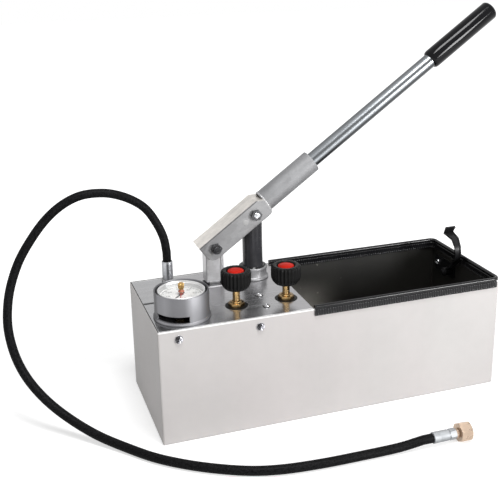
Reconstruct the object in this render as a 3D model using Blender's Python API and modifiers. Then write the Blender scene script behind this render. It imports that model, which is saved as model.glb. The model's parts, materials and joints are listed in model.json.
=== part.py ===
"""Hydrostatic test pump.

A folded sheet-metal water tank carries, under a cover plate at its left end, a
cast pump body with one vertical plunger, two shut-off valves, a pressure gauge
and a hose. A long hand lever on a rocking post drives the plunger.

Frame: metres, +Z up. X runs along the tank, the front of the tank faces -Y,
and the origin is at the middle of the tank's underside.
"""

import math

import bmesh
import bpy
from mathutils import Matrix, Vector

# Gap between pieces that touch, and the distance within which vertices weld.
FIT = 0.0003
WELD = 0.00001
SHARP_ANGLE = math.radians(35)

# Facets of round pieces.
FINE_FACETS = 30
ROUND_FACETS = 20
SMALL_FACETS = 12
FILLET_STEPS = 4

# Tank: an open box of folded sheet.
TANK_LENGTH = 0.460
TANK_WIDTH = 0.170
TANK_HEIGHT = 0.150
TANK_SHEET = 0.0015
TANK_FOLD_RADIUS = 0.002

# Cover plate over the pump end, with its edges folded down inside the walls.
COVER_LENGTH = 0.197
COVER_SHEET = 0.0015
COVER_LIP = 0.020
COVER_FOLD_RADIUS = 0.0008
COVER_SLIT_LENGTH = 0.014
COVER_SLIT_WIDTH = 0.0010
COVER_SLIT_Y = 0.0035

# Rubber trim pushed over the free rim of the tank.
TRIM_GAP = 0.0005
TRIM_WALL = 0.0016
TRIM_DROP = 0.009
TRIM_CROWN = 0.0047
TRIM_CORNER_RADIUS = 0.006
TRIM_EDGE = 0.0014

# Lever linkage. Its plane is set in from the tank's back face, its pivot from the left end.
LEVER_PLANE_INSET = 0.039
PIVOT_INSET = 0.106
PIVOT_RISE = 0.0525
LEVER_RISE = math.radians(35.5)
PIN_DISTANCE = 0.068
POST_PIN_DEPTH = 0.020

# Lever channel: an inverted U of plate.
CHANNEL_WIDTH = 0.0335
CHANNEL_PLATE = 0.0022
CHANNEL_TAIL = 0.0172
CHANNEL_PAST_PIN = 0.0212
CHANNEL_ABOVE = 0.0145
CHANNEL_BELOW = 0.0140
CHANNEL_TAIL_RADIUS = 0.012
CHANNEL_END_RADIUS = 0.006
CHANNEL_RAMP_LENGTH = 0.0100
CHANNEL_RAMP_DROP = 0.0065
CHANNEL_TOP_RADIUS = 0.0012

# Handle: socket tube, chromed tube and grip.
SOCKET_RADIUS = 0.0150
SOCKET_END = 0.1725
SOCKET_TONGUE = 0.0030
SOCKET_EDGE = 0.0012
HANDLE_TUBE_RADIUS = 0.0100
HANDLE_TUBE_WALL = 0.0015
HANDLE_TUBE_START = 0.1000
GRIP_RADIUS = 0.01225
GRIP_START = 0.386
GRIP_END = 0.495
GRIP_END_WALL = 0.004
GRIP_LIP = 0.0010

# Rocking post under the lever.
POST_WIDTH = 0.024
POST_DEPTH = 0.020
POST_HUB_RADIUS = 0.0080
POST_FOOT_RISE = 0.0038
POST_TONGUE_WIDTH = 0.014
POST_TONGUE_DEPTH = 0.012
POST_EYE_RADIUS = 0.0080
POST_GROOVE_WIDTH = 0.0018
POST_GROOVE_DEPTH = 0.0012
POST_GROOVE_INSET = 0.0046
POST_EDGE = 0.0012

# Bolts of the linkage.
PIVOT_BOLT_RADIUS = 0.0040
PISTON_BOLT_RADIUS = 0.0045
POST_PIN_RADIUS = 0.0040
BOLT_HEAD_HEIGHT = 0.0055
BOLT_TIP = 0.0012
NUT_ACROSS_FLATS = 0.0130
NUT_HEIGHT = 0.0050

# Plunger and cylinder.
PISTON_RADIUS = 0.0135
PISTON_TOP_DROP = 0.0155
PISTON_DEPTH = 0.062
PISTON_EDGE = 0.0010
PISTON_EYE_RADIUS = 0.0102
PISTON_EYE_HOLE = 0.0078
PISTON_EYE_THICKNESS = 0.0160
PISTON_SHANK_RADIUS = 0.0080
PISTON_SHANK_DEPTH = 0.0110
PISTON_COLLAR_RADIUS = 0.0105
PISTON_COLLAR_HEIGHT = 0.0020
CYLINDER_RADIUS = 0.0190
CYLINDER_SPIGOT_RADIUS = 0.0160
CYLINDER_SPIGOT_HEIGHT = 0.0080
CYLINDER_BOTTOM_Z = 0.0335
CYLINDER_FLOOR = 0.0050
CYLINDER_PORT_RADIUS = 0.0085
CYLINDER_EDGE = 0.0025

# Gland that guides the plunger through the cover.
GLAND_FLANGE_RADIUS = 0.0205
GLAND_FLANGE_HEIGHT = 0.0030
GLAND_NECK_RADIUS = 0.0165
GLAND_RING_RADIUS = 0.0190
GLAND_RING_HEIGHT = 0.0045
GLAND_RISE = 0.0165
GLAND_DEPTH = 0.0198
GLAND_SPIGOT_RADIUS = 0.0162
WIPER_RADIUS = 0.0156
WIPER_SEAT = 0.0028
WIPER_RISE = 0.0010
LIP_SEAL_HEIGHT = 0.0040

# Cast pump body under the cover: two bars joined by two webs. Insets and reaches are
# taken from the tank's left end, setbacks from the cover's right end, depths from the rim.
BODY_DEPTH = 0.038
FRONT_BAR_HALF = 0.0190
FRONT_BAR_INSET = 0.015
FRONT_BAR_SETBACK = 0.0042
REAR_BAR_HALF = 0.0250
REAR_BAR_INSET = 0.023
BODY_END_WALL = 0.0250
BODY_WEB_INSET = 0.054
BODY_WEB_REACH = 0.130
BODY_WAIST_REACH = 0.162
BODY_CORNER_RADIUS = 0.008
POCKET_WIDTH = 0.030
POCKET_DEPTH = 0.0150
POCKET_BOTTOM_DEPTH = 0.032

# Suction valve and strainer below the cylinder.
FOOT_RADIUS = 0.0130
FOOT_SPIGOT_RADIUS = 0.0082
FOOT_SPIGOT_HEIGHT = 0.0045
FOOT_SHOULDER_Z = 0.0332
FOOT_WAIST_Z = 0.0150
FOOT_NOZZLE_RADIUS = 0.0070
FOOT_NOZZLE_Z = 0.0085
FOOT_CHAMBER_RADIUS = 0.0060
FOOT_PORT_RADIUS = 0.0030
FOOT_SEAT_Z = 0.0195
FOOT_ROOF = 0.0010
FOOT_OUTLET_RADIUS = 0.0035
SUCTION_BALL_RADIUS = 0.00475
STRAINER_SHEET = 0.0010
STRAINER_FLOOR_Z = 0.0045
STRAINER_TOP_Z = 0.0225
STRAINER_SLOTS = 8
STRAINER_SLOT_WIDTH = 0.0030
STRAINER_SLOT_HEIGHT = 0.0090

# Shut-off valves, in a row set in from the front face. The release valve stands open.
VALVE_ROW_INSET = 0.045
RELEASE_VALVE_INSET = 0.1108
PRESSURE_VALVE_SETBACK = 0.0202
RELEASE_VALVE_LIFT = 0.0024
VALVE_OPENING_RADIUS = 0.0138
BONNET_ACROSS_FLATS = 0.0175
BONNET_HEX_HEIGHT = 0.0065
BONNET_NECK_RADIUS = 0.0070
BONNET_NECK_HEIGHT = 0.0035
BONNET_SPIGOT_RADIUS = 0.0070
BONNET_DEPTH = 0.022
BONNET_BORE_DEPTH = 0.0238
STEM_RADIUS = 0.00465
STEM_DEPTH = 0.0164
NEEDLE_RADIUS = 0.0036
NEEDLE_DEPTH = 0.031
NEEDLE_TIP_RADIUS = 0.0012
NEEDLE_TAPER = 0.0050
NEEDLE_BORE_RADIUS = 0.0040
NEEDLE_BORE_DEPTH = 0.0335
KNOB_RADIUS = 0.0190
KNOB_RISE = 0.0205
KNOB_HEIGHT = 0.0210
KNOB_FOOT_RADIUS = 0.0140
KNOB_TAPER = 0.0075
KNOB_SHOULDER = 0.0022
KNOB_BORE_ROOF = 0.0055
KNOB_FLUTES = 16
KNOB_FLUTE_RADIUS = 0.0018
KNOB_FLUTE_DEPTH = 0.0007
CAP_RADIUS = 0.0098
CAP_SEAT = 0.0020
CAP_RISE = 0.0016
CAP_EDGE = 0.0010

# Pressure gauge standing in a guard ring.
GAUGE_INSET = 0.040
GUARD_WALL = 0.0019
GUARD_RISE = 0.035
GUARD_GAP = 0.0024
GUARD_FOOT_FLARE = 0.0017
GUARD_FOOT_HEIGHT = 0.0022
GUARD_LIP = 0.0006
GUARD_WINDOW_START = math.radians(-166)
GUARD_WINDOW_END = math.radians(-92)
GUARD_WINDOW_BOTTOM = 0.0034
GUARD_WINDOW_HEIGHT = 0.0080
CASE_RISE = 0.0140
CASE_WALL = 0.0014
CASE_FLOOR = 0.0080
CASE_HEIGHT = 0.0115
CASE_STEP = 0.0006
BEZEL_RADIUS = 0.0292
BEZEL_WINDOW_RADIUS = 0.0268
BEZEL_LIP = 0.0010
DIAL_THICKNESS = 0.0010
POINTER_LIFT = 0.0008
POINTER_THICKNESS = 0.0006
POINTER_LENGTH = 0.0210
POINTER_TAIL = 0.0070
POINTER_HUB_RADIUS = 0.0026
POINTER_HALF_WIDTH = 0.0007
MARKER_LENGTH = 0.0150
MARKER_HALF_WIDTH = 0.0006
GLASS_THICKNESS = 0.0014
GLASS_CLEARANCE = 0.0007
MARKER_SHAFT_RADIUS = 0.0014
MARKER_KNOB_RADIUS = 0.0048
MARKER_KNOB_HEIGHT = 0.0095
MARKER_KNOB_FLUTES = 10
MARKER_KNOB_FLUTE_RADIUS = 0.0008
POINTER_REST = math.radians(225)
MARKER_REST = math.radians(252)
GAUGE_SOCKET_RADIUS = 0.0060
GAUGE_SOCKET_DEPTH = 0.0275
GAUGE_SOCKET_HEX = 0.0170
GAUGE_OPENING_RADIUS = 0.0130

# Hose outlet.
OUTLET_INSET = 0.0477
OUTLET_SIDE_INSET = 0.022
OUTLET_HEX = 0.0150
OUTLET_HEX_HEIGHT = 0.0062
OUTLET_STUB_RADIUS = 0.0050
OUTLET_STUB_DEPTH = 0.018
OUTLET_NIPPLE_RADIUS = 0.0035
OUTLET_NIPPLE_RISE = 0.028
FERRULE_RADIUS = 0.00715
FERRULE_GROOVE = 0.0005
FERRULE_RISE = 0.0313
FERRULE_END_WALL = 0.0030
HOSE_RADIUS = 0.00575
HOSE_SPACING = 0.025
HOSE_LEAD = 0.012
HOSE_SUBSTEPS = 24

# Free end of the hose, lying along +X on the floor.
HOSE_END_X = 0.0740
HOSE_END_Y = -0.1955
UNION_ACROSS_FLATS = 0.0214
UNION_AXIS_Z = 0.0110
END_FERRULE_RADIUS = 0.0064
END_FERRULE_LENGTH = 0.0305
TAIL_NECK_RADIUS = 0.0045
TAIL_COLLAR_RADIUS = 0.0058
TAIL_COLLAR_LENGTH = 0.0022
TAIL_FLANGE_RADIUS = 0.0070
TAIL_FLANGE_LENGTH = 0.0025
TAIL_BORE_RADIUS = 0.0025
TAIL_INSERT = 0.0080
UNION_START_X = 0.1090
UNION_LENGTH = 0.0150
UNION_BACK_WALL = 0.0030
UNION_BORE_RADIUS = 0.0083

# Hook that holds the folded handle. Its path starts at its pivot, in shares of its lean
# and height.
HOOK_PIVOT_OFFSET = 0.016
HOOK_PIVOT_DEPTH = 0.028
HOOK_WIDTH = 0.0112
HOOK_PLATE = 0.0030
HOOK_EYE_RADIUS = 0.0062
HOOK_PIN_RADIUS = 0.0025
HOOK_PIN_HEAD_RADIUS = 0.0045
HOOK_PIN_HEAD = 0.0022
HOOK_TRIM_GAP = 0.0004
HOOK_LEAN = 0.0275
HOOK_HEIGHT = 0.0679
HOOK_PATH_SHARES = (
    (0, 0),
    (-0.6545, 0.2430),
    (-0.9455, 0.4124),
    (-1, 0.5449),
    (-0.9455, 0.6701),
    (-0.6364, 0.8115),
    (0.0909, 0.8586),
    (-0.1018, 1),
)
BRACKET_PLATE = 0.0015
BRACKET_AHEAD = 0.010
BRACKET_BEHIND = 0.042
BRACKET_BELOW = 0.010
BRACKET_ABOVE = 0.012
BRACKET_CORNER_RADIUS = 0.004

# Points that the middle of the hose passes through between its two ends.
HOSE_ROUTE = (
    (-0.1850, 0.0636, 0.2130),
    (-0.1925, 0.0660, 0.2330),
    (-0.2050, 0.0700, 0.2535),
    (-0.2215, 0.0735, 0.2665),
    (-0.2420, 0.0765, 0.2755),
    (-0.2625, 0.0785, 0.2793),
    (-0.2870, 0.0795, 0.2780),
    (-0.3105, 0.0795, 0.2685),
    (-0.3330, 0.0790, 0.2510),
    (-0.3535, 0.0775, 0.2270),
    (-0.3715, 0.0740, 0.2000),
    (-0.3850, 0.0680, 0.1680),
    (-0.3915, 0.0600, 0.1380),
    (-0.3920, 0.0490, 0.1135),
    (-0.3865, 0.0340, 0.0870),
    (-0.3748, 0.0145, 0.0645),
    (-0.3563, -0.0045, 0.0430),
    (-0.3325, -0.0245, 0.0245),
    (-0.3035, -0.0520, 0.0112),
    (-0.2710, -0.0865, 0.0062),
    (-0.2420, -0.1190, 0.0061),
    (-0.2020, -0.1500, 0.0061),
    (-0.1560, -0.1752, 0.0061),
    (-0.1170, -0.1870, 0.0061),
    (-0.0700, -0.1922, 0.0061),
    (-0.0200, -0.1935, 0.0061),
    (0.0300, -0.1942, 0.0068),
)

# Heights and places that follow from the sizes above.
LEFT_END_X = -TANK_LENGTH / 2
FRONT_FACE_Y = -TANK_WIDTH / 2
BACK_FACE_Y = TANK_WIDTH / 2
INNER_LENGTH_HALF = TANK_LENGTH / 2 - TANK_SHEET
INNER_WIDTH_HALF = TANK_WIDTH / 2 - TANK_SHEET
PLATE_UNDERSIDE_Z = TANK_HEIGHT - COVER_SHEET
PLATE_SEAT_Z = TANK_HEIGHT + FIT
COVER_END_X = LEFT_END_X + COVER_LENGTH
TRIM_START_X = COVER_END_X + TRIM_GAP

LEVER_PLANE_Y = BACK_FACE_Y - LEVER_PLANE_INSET
PIVOT_X = LEFT_END_X + PIVOT_INSET
PIVOT_Z = TANK_HEIGHT + PIVOT_RISE
POST_PIN_Z = TANK_HEIGHT - POST_PIN_DEPTH
POST_FOOT_Z = TANK_HEIGHT + POST_FOOT_RISE
POST_HEAD_RADIUS = POST_WIDTH / 2
CHANNEL_REACH = PIN_DISTANCE + CHANNEL_PAST_PIN
CHANNEL_HALF = CHANNEL_WIDTH / 2
CHANNEL_INNER_HALF = CHANNEL_HALF - CHANNEL_PLATE

PISTON_X = PIVOT_X + PIN_DISTANCE * math.cos(LEVER_RISE)
PISTON_PIN_Z = PIVOT_Z + PIN_DISTANCE * math.sin(LEVER_RISE)
PISTON_TOP_Z = PISTON_PIN_Z - PISTON_TOP_DROP
PISTON_BOTTOM_Z = TANK_HEIGHT - PISTON_DEPTH
BORE_RADIUS = PISTON_RADIUS + FIT
GLAND_TOP_Z = TANK_HEIGHT + GLAND_RISE
GLAND_BOTTOM_Z = TANK_HEIGHT - GLAND_DEPTH

BODY_TOP_Z = PLATE_UNDERSIDE_Z - FIT
BODY_BOTTOM_Z = TANK_HEIGHT - BODY_DEPTH
FRONT_BAR_LEFT_X = LEFT_END_X + FRONT_BAR_INSET
FRONT_BAR_RIGHT_X = COVER_END_X - FRONT_BAR_SETBACK
REAR_BAR_LEFT_X = LEFT_END_X + REAR_BAR_INSET
BODY_WEB_LEFT_X = LEFT_END_X + BODY_WEB_INSET
BODY_WEB_RIGHT_X = LEFT_END_X + BODY_WEB_REACH
BODY_WAIST_X = LEFT_END_X + BODY_WAIST_REACH
POCKET_FLOOR_Z = TANK_HEIGHT - POCKET_BOTTOM_DEPTH

VALVE_Y = FRONT_FACE_Y + VALVE_ROW_INSET
RELEASE_VALVE_X = LEFT_END_X + RELEASE_VALVE_INSET
PRESSURE_VALVE_X = COVER_END_X - PRESSURE_VALVE_SETBACK
BONNET_BOTTOM_Z = TANK_HEIGHT - BONNET_DEPTH
BONNET_BORE_BOTTOM_Z = TANK_HEIGHT - BONNET_BORE_DEPTH
STEM_BOTTOM_Z = TANK_HEIGHT - STEM_DEPTH
NEEDLE_BOTTOM_Z = TANK_HEIGHT - NEEDLE_DEPTH
NEEDLE_BORE_BOTTOM_Z = TANK_HEIGHT - NEEDLE_BORE_DEPTH
KNOB_BOTTOM_Z = TANK_HEIGHT + KNOB_RISE
KNOB_TOP_Z = KNOB_BOTTOM_Z + KNOB_HEIGHT

GAUGE_X = LEFT_END_X + GAUGE_INSET
GAUGE_Y = FRONT_FACE_Y + GAUGE_INSET
GUARD_RADIUS = BEZEL_RADIUS + GUARD_GAP + GUARD_WALL
GUARD_FOOT_RADIUS = GUARD_RADIUS + GUARD_FOOT_FLARE
GUARD_TOP_Z = TANK_HEIGHT + GUARD_RISE
CASE_RADIUS = BEZEL_RADIUS - CASE_STEP
CASE_BOTTOM_Z = TANK_HEIGHT + CASE_RISE
CASE_TOP_Z = CASE_BOTTOM_Z + CASE_HEIGHT
DIAL_TOP_Z = CASE_TOP_Z + FIT + DIAL_THICKNESS
POINTER_Z = DIAL_TOP_Z + POINTER_LIFT
MARKER_Z = POINTER_Z + POINTER_THICKNESS + FIT
GLASS_TOP_Z = MARKER_Z + POINTER_THICKNESS / 2 + GLASS_CLEARANCE + GLASS_THICKNESS
BEZEL_TOP_Z = GLASS_TOP_Z + FIT + BEZEL_LIP
GAUGE_SOCKET_BOTTOM_Z = TANK_HEIGHT - GAUGE_SOCKET_DEPTH

OUTLET_X = LEFT_END_X + OUTLET_INSET
OUTLET_Y = BACK_FACE_Y - OUTLET_SIDE_INSET
OUTLET_STUB_BOTTOM_Z = TANK_HEIGHT - OUTLET_STUB_DEPTH
OUTLET_NIPPLE_TOP_Z = TANK_HEIGHT + OUTLET_NIPPLE_RISE
FERRULE_TOP_Z = TANK_HEIGHT + FERRULE_RISE
END_FERRULE_END_X = HOSE_END_X + FIT + END_FERRULE_LENGTH

HOOK_PIVOT_Y = LEVER_PLANE_Y - HOOK_PIVOT_OFFSET
HOOK_PIVOT_Z = TANK_HEIGHT - HOOK_PIVOT_DEPTH
BRACKET_FRONT_Y = HOOK_PIVOT_Y - BRACKET_AHEAD
BRACKET_BACK_Y = HOOK_PIVOT_Y + BRACKET_BEHIND
BRACKET_BOTTOM_Z = HOOK_PIVOT_Z - BRACKET_BELOW
BRACKET_TOP_Z = HOOK_PIVOT_Z + BRACKET_ABOVE

# Surface finishes: colour, roughness, metallic.
FINISHES = {
    "sheet": ((0.62, 0.61, 0.60), 0.38, 0.85),
    "galvanised": ((0.50, 0.50, 0.49), 0.45, 0.85),
    "cast": ((0.36, 0.36, 0.37), 0.60, 0.60),
    "steel": ((0.42, 0.42, 0.44), 0.35, 0.95),
    "chrome": ((0.72, 0.73, 0.76), 0.12, 1.00),
    "black_steel": ((0.030, 0.030, 0.034), 0.40, 0.40),
    "brass": ((0.70, 0.50, 0.22), 0.28, 1.00),
    "pale_brass": ((0.72, 0.56, 0.42), 0.35, 1.00),
    "rubber": ((0.020, 0.020, 0.022), 0.70, 0.00),
    "black_plastic": ((0.016, 0.016, 0.018), 0.42, 0.00),
    "red_plastic": ((0.72, 0.03, 0.03), 0.35, 0.00),
    "dial_white": ((0.85, 0.85, 0.82), 0.50, 0.00),
    "clear": ((0.90, 0.92, 0.93), 0.05, 0.00),
}


def clear_scene():
    """Remove whatever the open file shows."""
    for old in list(bpy.data.objects):
        bpy.data.objects.remove(old, do_unlink=True)


def make_collection(name):
    """A new collection in the scene."""
    collection = bpy.data.collections.new(name)
    bpy.context.scene.collection.children.link(collection)
    return collection


clear_scene()
PARTS = make_collection("test_pump")
CUTTERS = make_collection("cutters")


def finish_material(name, finish):
    """The part's own material."""
    colour, roughness, metallic = FINISHES[finish]
    material = bpy.data.materials.new(name)
    material.use_nodes = True
    shader = material.node_tree.nodes["Principled BSDF"]
    shader.inputs["Base Color"].default_value = (*colour, 1.0)
    shader.inputs["Roughness"].default_value = roughness
    shader.inputs["Metallic"].default_value = metallic
    return material


def link(obj, collection):
    """Move an object into one collection."""
    for old in list(obj.users_collection):
        old.objects.unlink(obj)
    collection.objects.link(obj)


def keep(obj, name, finish, frame=None):
    """Name a finished piece, give it its material and hang it on its joint."""
    link(obj, PARTS)
    obj.name = name
    obj.data.name = name
    obj.data.materials.clear()
    obj.data.materials.append(finish_material(name, finish))
    obj.parent = frame
    return obj


def axis_empty(name, location, rotation=(0, 0, 0), frame=None):
    """An empty on a joint's axis, which carries the pieces that move together."""
    empty = bpy.data.objects.new(name, None)
    empty.empty_display_size = TANK_SHEET
    PARTS.objects.link(empty)
    empty.location = location
    empty.rotation_euler = rotation
    empty.parent = frame
    return empty


def smooth(mesh):
    """Smooth shading that stays crisp at real edges."""
    mesh.shade_smooth()
    mesh.set_sharp_from_angle(angle=SHARP_ANGLE)


def mesh_object(name, bm, location=(0, 0, 0), rotation=(0, 0, 0)):
    """An object from a bmesh."""
    mesh = bpy.data.meshes.new(name)
    bm.to_mesh(mesh)
    bm.free()
    smooth(mesh)
    obj = bpy.data.objects.new(name, mesh)
    obj.location = location
    obj.rotation_euler = rotation
    PARTS.objects.link(obj)
    return obj


def realised(obj):
    """The object as a plain welded mesh in the same place."""
    bpy.context.view_layer.update()
    graph = bpy.context.evaluated_depsgraph_get()
    mesh = bpy.data.meshes.new_from_object(obj.evaluated_get(graph))
    bm = bmesh.new()
    bm.from_mesh(mesh)
    bmesh.ops.remove_doubles(bm, verts=bm.verts, dist=WELD)
    bm.to_mesh(mesh)
    bm.free()
    smooth(mesh)
    solid = bpy.data.objects.new(obj.name, mesh)
    solid.matrix_world = obj.matrix_world
    PARTS.objects.link(solid)
    bpy.data.objects.remove(obj, do_unlink=True)
    return solid


def block(name, size, location=(0, 0, 0), rotation=(0, 0, 0)):
    """A box about its own middle."""
    bm = bmesh.new()
    bmesh.ops.create_cube(bm, size=1.0)
    bmesh.ops.scale(bm, vec=size, verts=bm.verts)
    return mesh_object(name, bm, location, rotation)


def rod(name, radius, length, location=(0, 0, 0), rotation=(0, 0, 0), facets=ROUND_FACETS):
    """A cylinder about its own middle."""
    bm = bmesh.new()
    bmesh.ops.create_cone(
        bm, cap_ends=True, segments=facets, radius1=radius, radius2=radius, depth=length
    )
    return mesh_object(name, bm, location, rotation)


def hexagon(name, across_flats, length, location=(0, 0, 0), rotation=(0, 0, 0), turn=0):
    """A hexagonal prism about its own middle, turned about its own axis."""
    radius = across_flats / math.sqrt(3)
    prism = rod(name, radius, length, location, rotation, facets=6)
    prism.data.transform(Matrix.Rotation(turn, 4, "Z"))
    return prism


def rod_ring(name, count, ring_radius, radius, length, location=(0, 0, 0), facets=SMALL_FACETS):
    """Upright cylinders spaced evenly round a circle."""
    bm = bmesh.new()
    for index in range(count):
        turn = Matrix.Rotation(math.tau * index / count, 4, "Z")
        place = turn @ Matrix.Translation((ring_radius, 0, 0))
        bmesh.ops.create_cone(
            bm, cap_ends=True, segments=facets, radius1=radius, radius2=radius,
            depth=length, matrix=place,
        )
    return mesh_object(name, bm, location)


def turned(name, profile, location=(0, 0, 0), rotation=(0, 0, 0), facets=ROUND_FACETS):
    """A body turned about Z from (radius, height) points that run down its outer side.

    A profile that starts on the axis is solid; one that starts off it is a
    closed loop and leaves a bore.
    """
    bm = bmesh.new()
    points = [bm.verts.new((radius, 0, height)) for radius, height in profile]
    for start, end in zip(points, points[1:]):
        bm.edges.new((start, end))
    if profile[0][0] > 0:
        bm.edges.new((points[-1], points[0]))
    mesh = bpy.data.meshes.new(name)
    bm.to_mesh(mesh)
    bm.free()
    obj = bpy.data.objects.new(name, mesh)
    PARTS.objects.link(obj)
    obj.location = location
    obj.rotation_euler = rotation
    screw = obj.modifiers.new("Turn", "SCREW")
    screw.axis = "Z"
    screw.steps = facets
    screw.render_steps = facets
    screw.use_merge_vertices = True
    screw.merge_threshold = WELD
    return realised(obj)


def rounded(corners, steps=FILLET_STEPS):
    """Outline points of a polygon whose (x, y, radius) corners are filleted."""
    points = []
    for index, (x, y, radius) in enumerate(corners):
        here = Vector((x, y))
        if not radius:
            points.append(here)
            continue
        before = Vector(corners[index - 1][:2])
        after = Vector(corners[(index + 1) % len(corners)][:2])
        back = (before - here).normalized()
        ahead = (after - here).normalized()
        half = back.angle(ahead) / 2
        centre = here + (back + ahead).normalized() * (radius / math.sin(half))
        first = here + back * (radius / math.tan(half)) - centre
        last = here + ahead * (radius / math.tan(half)) - centre
        start = math.atan2(first.y, first.x)
        sweep = math.atan2(last.y, last.x) - start
        sweep = (sweep + math.pi) % math.tau - math.pi
        for step in range(steps + 1):
            angle = start + sweep * step / steps
            points.append(centre + Vector((math.cos(angle), math.sin(angle))) * radius)
    return points


def plate(name, outline, thickness, location=(0, 0, 0), rotation=(0, 0, 0), holes=(), edge=0):
    """A flat outline with thickness, and with rounded edges where an edge radius is given."""
    curve = bpy.data.curves.new(name, "CURVE")
    curve.dimensions = "2D"
    curve.fill_mode = "BOTH"
    curve.extrude = thickness / 2 - edge
    if edge:
        curve.bevel_depth = edge
        curve.bevel_resolution = 1
        curve.offset = -edge
    for points in (outline, *holes):
        spline = curve.splines.new("POLY")
        spline.points.add(len(points) - 1)
        for target, point in zip(spline.points, points):
            target.co = (point[0], point[1], 0, 1)
        spline.use_cyclic_u = True
    obj = bpy.data.objects.new(name, curve)
    PARTS.objects.link(obj)
    obj.location = location
    obj.rotation_euler = rotation
    return realised(obj)


def circle(radius, facets=ROUND_FACETS, centre=(0, 0)):
    """Points of a circle for an outline."""
    return [
        (
            centre[0] + radius * math.cos(math.tau * index / facets),
            centre[1] + radius * math.sin(math.tau * index / facets),
        )
        for index in range(facets)
    ]


def boolean(target, tool, operation="DIFFERENCE", frame=None):
    """Cut, join or intersect a piece with a guide body."""
    link(tool, CUTTERS)
    tool.hide_render = True
    tool.display_type = "WIRE"
    tool.parent = frame
    modifier = target.modifiers.new(operation.title(), "BOOLEAN")
    modifier.operation = operation
    modifier.solver = "EXACT"
    modifier.object = tool
    return target


def folded_box(name, size, sheet, radius, missing, location):
    """A box of folded sheet with one side missing; missing is +1 for the top, -1 for the bottom."""
    bm = bmesh.new()
    bmesh.ops.create_cube(bm, size=1.0)
    bmesh.ops.scale(bm, vec=size, verts=bm.verts)
    bm.normal_update()
    gone = [face for face in bm.faces if face.normal.z * missing > 0.5]
    bmesh.ops.delete(bm, geom=gone, context="FACES_ONLY")
    folds = [edge for edge in bm.edges if len(edge.link_faces) == 2]
    bmesh.ops.bevel(
        bm, geom=folds, offset=radius, offset_type="OFFSET", segments=2, profile=0.5,
        affect="EDGES",
    )
    obj = mesh_object(name, bm, location)
    shell = obj.modifiers.new("Sheet", "SOLIDIFY")
    shell.thickness = sheet
    shell.offset = -1
    shell.use_even_offset = True
    return obj


# Rotations that stand an outline or a turned piece up.
FACE_FRONT = (math.pi / 2, 0, 0)
FACE_RIGHT = (math.pi / 2, 0, math.pi / 2)
ALONG_X = (0, math.pi / 2, 0)


def make_tank():
    """The open water tank."""
    tank = folded_box(
        "tank", (TANK_LENGTH, TANK_WIDTH, TANK_HEIGHT), TANK_SHEET, TANK_FOLD_RADIUS,
        1, (0, 0, TANK_HEIGHT / 2),
    )
    keep(tank, "tank", "sheet")


def trim_plan(start_x, outside, inside, outside_radius, inside_radius):
    """Plan of a band that follows the rim round the right end of the tank."""
    far_x = TANK_LENGTH / 2 + outside
    far_y = TANK_WIDTH / 2 + outside
    near_x = INNER_LENGTH_HALF - inside
    near_y = INNER_WIDTH_HALF - inside
    return rounded((
        (start_x, -far_y, 0),
        (far_x, -far_y, outside_radius),
        (far_x, far_y, outside_radius),
        (start_x, far_y, 0),
        (start_x, near_y, 0),
        (near_x, near_y, inside_radius),
        (near_x, -near_y, inside_radius),
        (start_x, -near_y, 0),
    ))


def make_rim_trim():
    """The rubber trim over the free rim."""
    flank = FIT + TRIM_WALL
    height = TRIM_DROP + TRIM_CROWN
    middle = TANK_HEIGHT + TRIM_CROWN - height / 2
    trim = plate(
        "rim_trim",
        trim_plan(TRIM_START_X, flank, flank, TRIM_CORNER_RADIUS, TRIM_CORNER_RADIUS / 2),
        height, (0, 0, middle), edge=TRIM_EDGE,
    )
    slot_top = TANK_HEIGHT + FIT
    slot_height = 2 * TRIM_DROP
    slot = plate(
        "trim_slot",
        trim_plan(TRIM_START_X - flank, FIT, FIT, TANK_FOLD_RADIUS, 0),
        slot_height, (0, 0, slot_top - slot_height / 2),
    )
    boolean(trim, slot)
    keep(trim, "rim_trim", "rubber")


def make_cover():
    """The cover plate with its openings for all that stands on the body below."""
    left_x = -INNER_LENGTH_HALF + FIT
    width = 2 * (INNER_WIDTH_HALF - FIT)
    cover = folded_box(
        "top_cover", (COVER_END_X - left_x, width, COVER_LIP), COVER_SHEET,
        COVER_FOLD_RADIUS, -1, ((left_x + COVER_END_X) / 2, 0, TANK_HEIGHT - COVER_LIP / 2),
    )
    through = 2 * COVER_LIP
    openings = (
        ("gland_opening", PISTON_X, LEVER_PLANE_Y, GLAND_SPIGOT_RADIUS + 2 * FIT),
        ("release_opening", RELEASE_VALVE_X, VALVE_Y, VALVE_OPENING_RADIUS),
        ("pressure_opening", PRESSURE_VALVE_X, VALVE_Y, VALVE_OPENING_RADIUS),
        ("gauge_opening", GAUGE_X, GAUGE_Y, GAUGE_OPENING_RADIUS),
        ("outlet_opening", OUTLET_X, OUTLET_Y, OUTLET_STUB_RADIUS + 2 * FIT),
    )
    for name, x, y, radius in openings:
        boolean(cover, rod(name, radius, through, (x, y, TANK_HEIGHT)))
    slot_width = POCKET_WIDTH - 2 * TANK_FOLD_RADIUS
    slot = block(
        "post_opening", (slot_width, POCKET_DEPTH + 2 * TANK_FOLD_RADIUS, through),
        (PIVOT_X, LEVER_PLANE_Y, TANK_HEIGHT),
    )
    boolean(cover, slot)
    slit = block(
        "cover_slit", (2 * COVER_SLIT_LENGTH, COVER_SLIT_WIDTH, 4 * COVER_SHEET),
        (left_x, COVER_SLIT_Y, TANK_HEIGHT),
    )
    boolean(cover, slit)
    keep(cover, "top_cover", "sheet")


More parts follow.
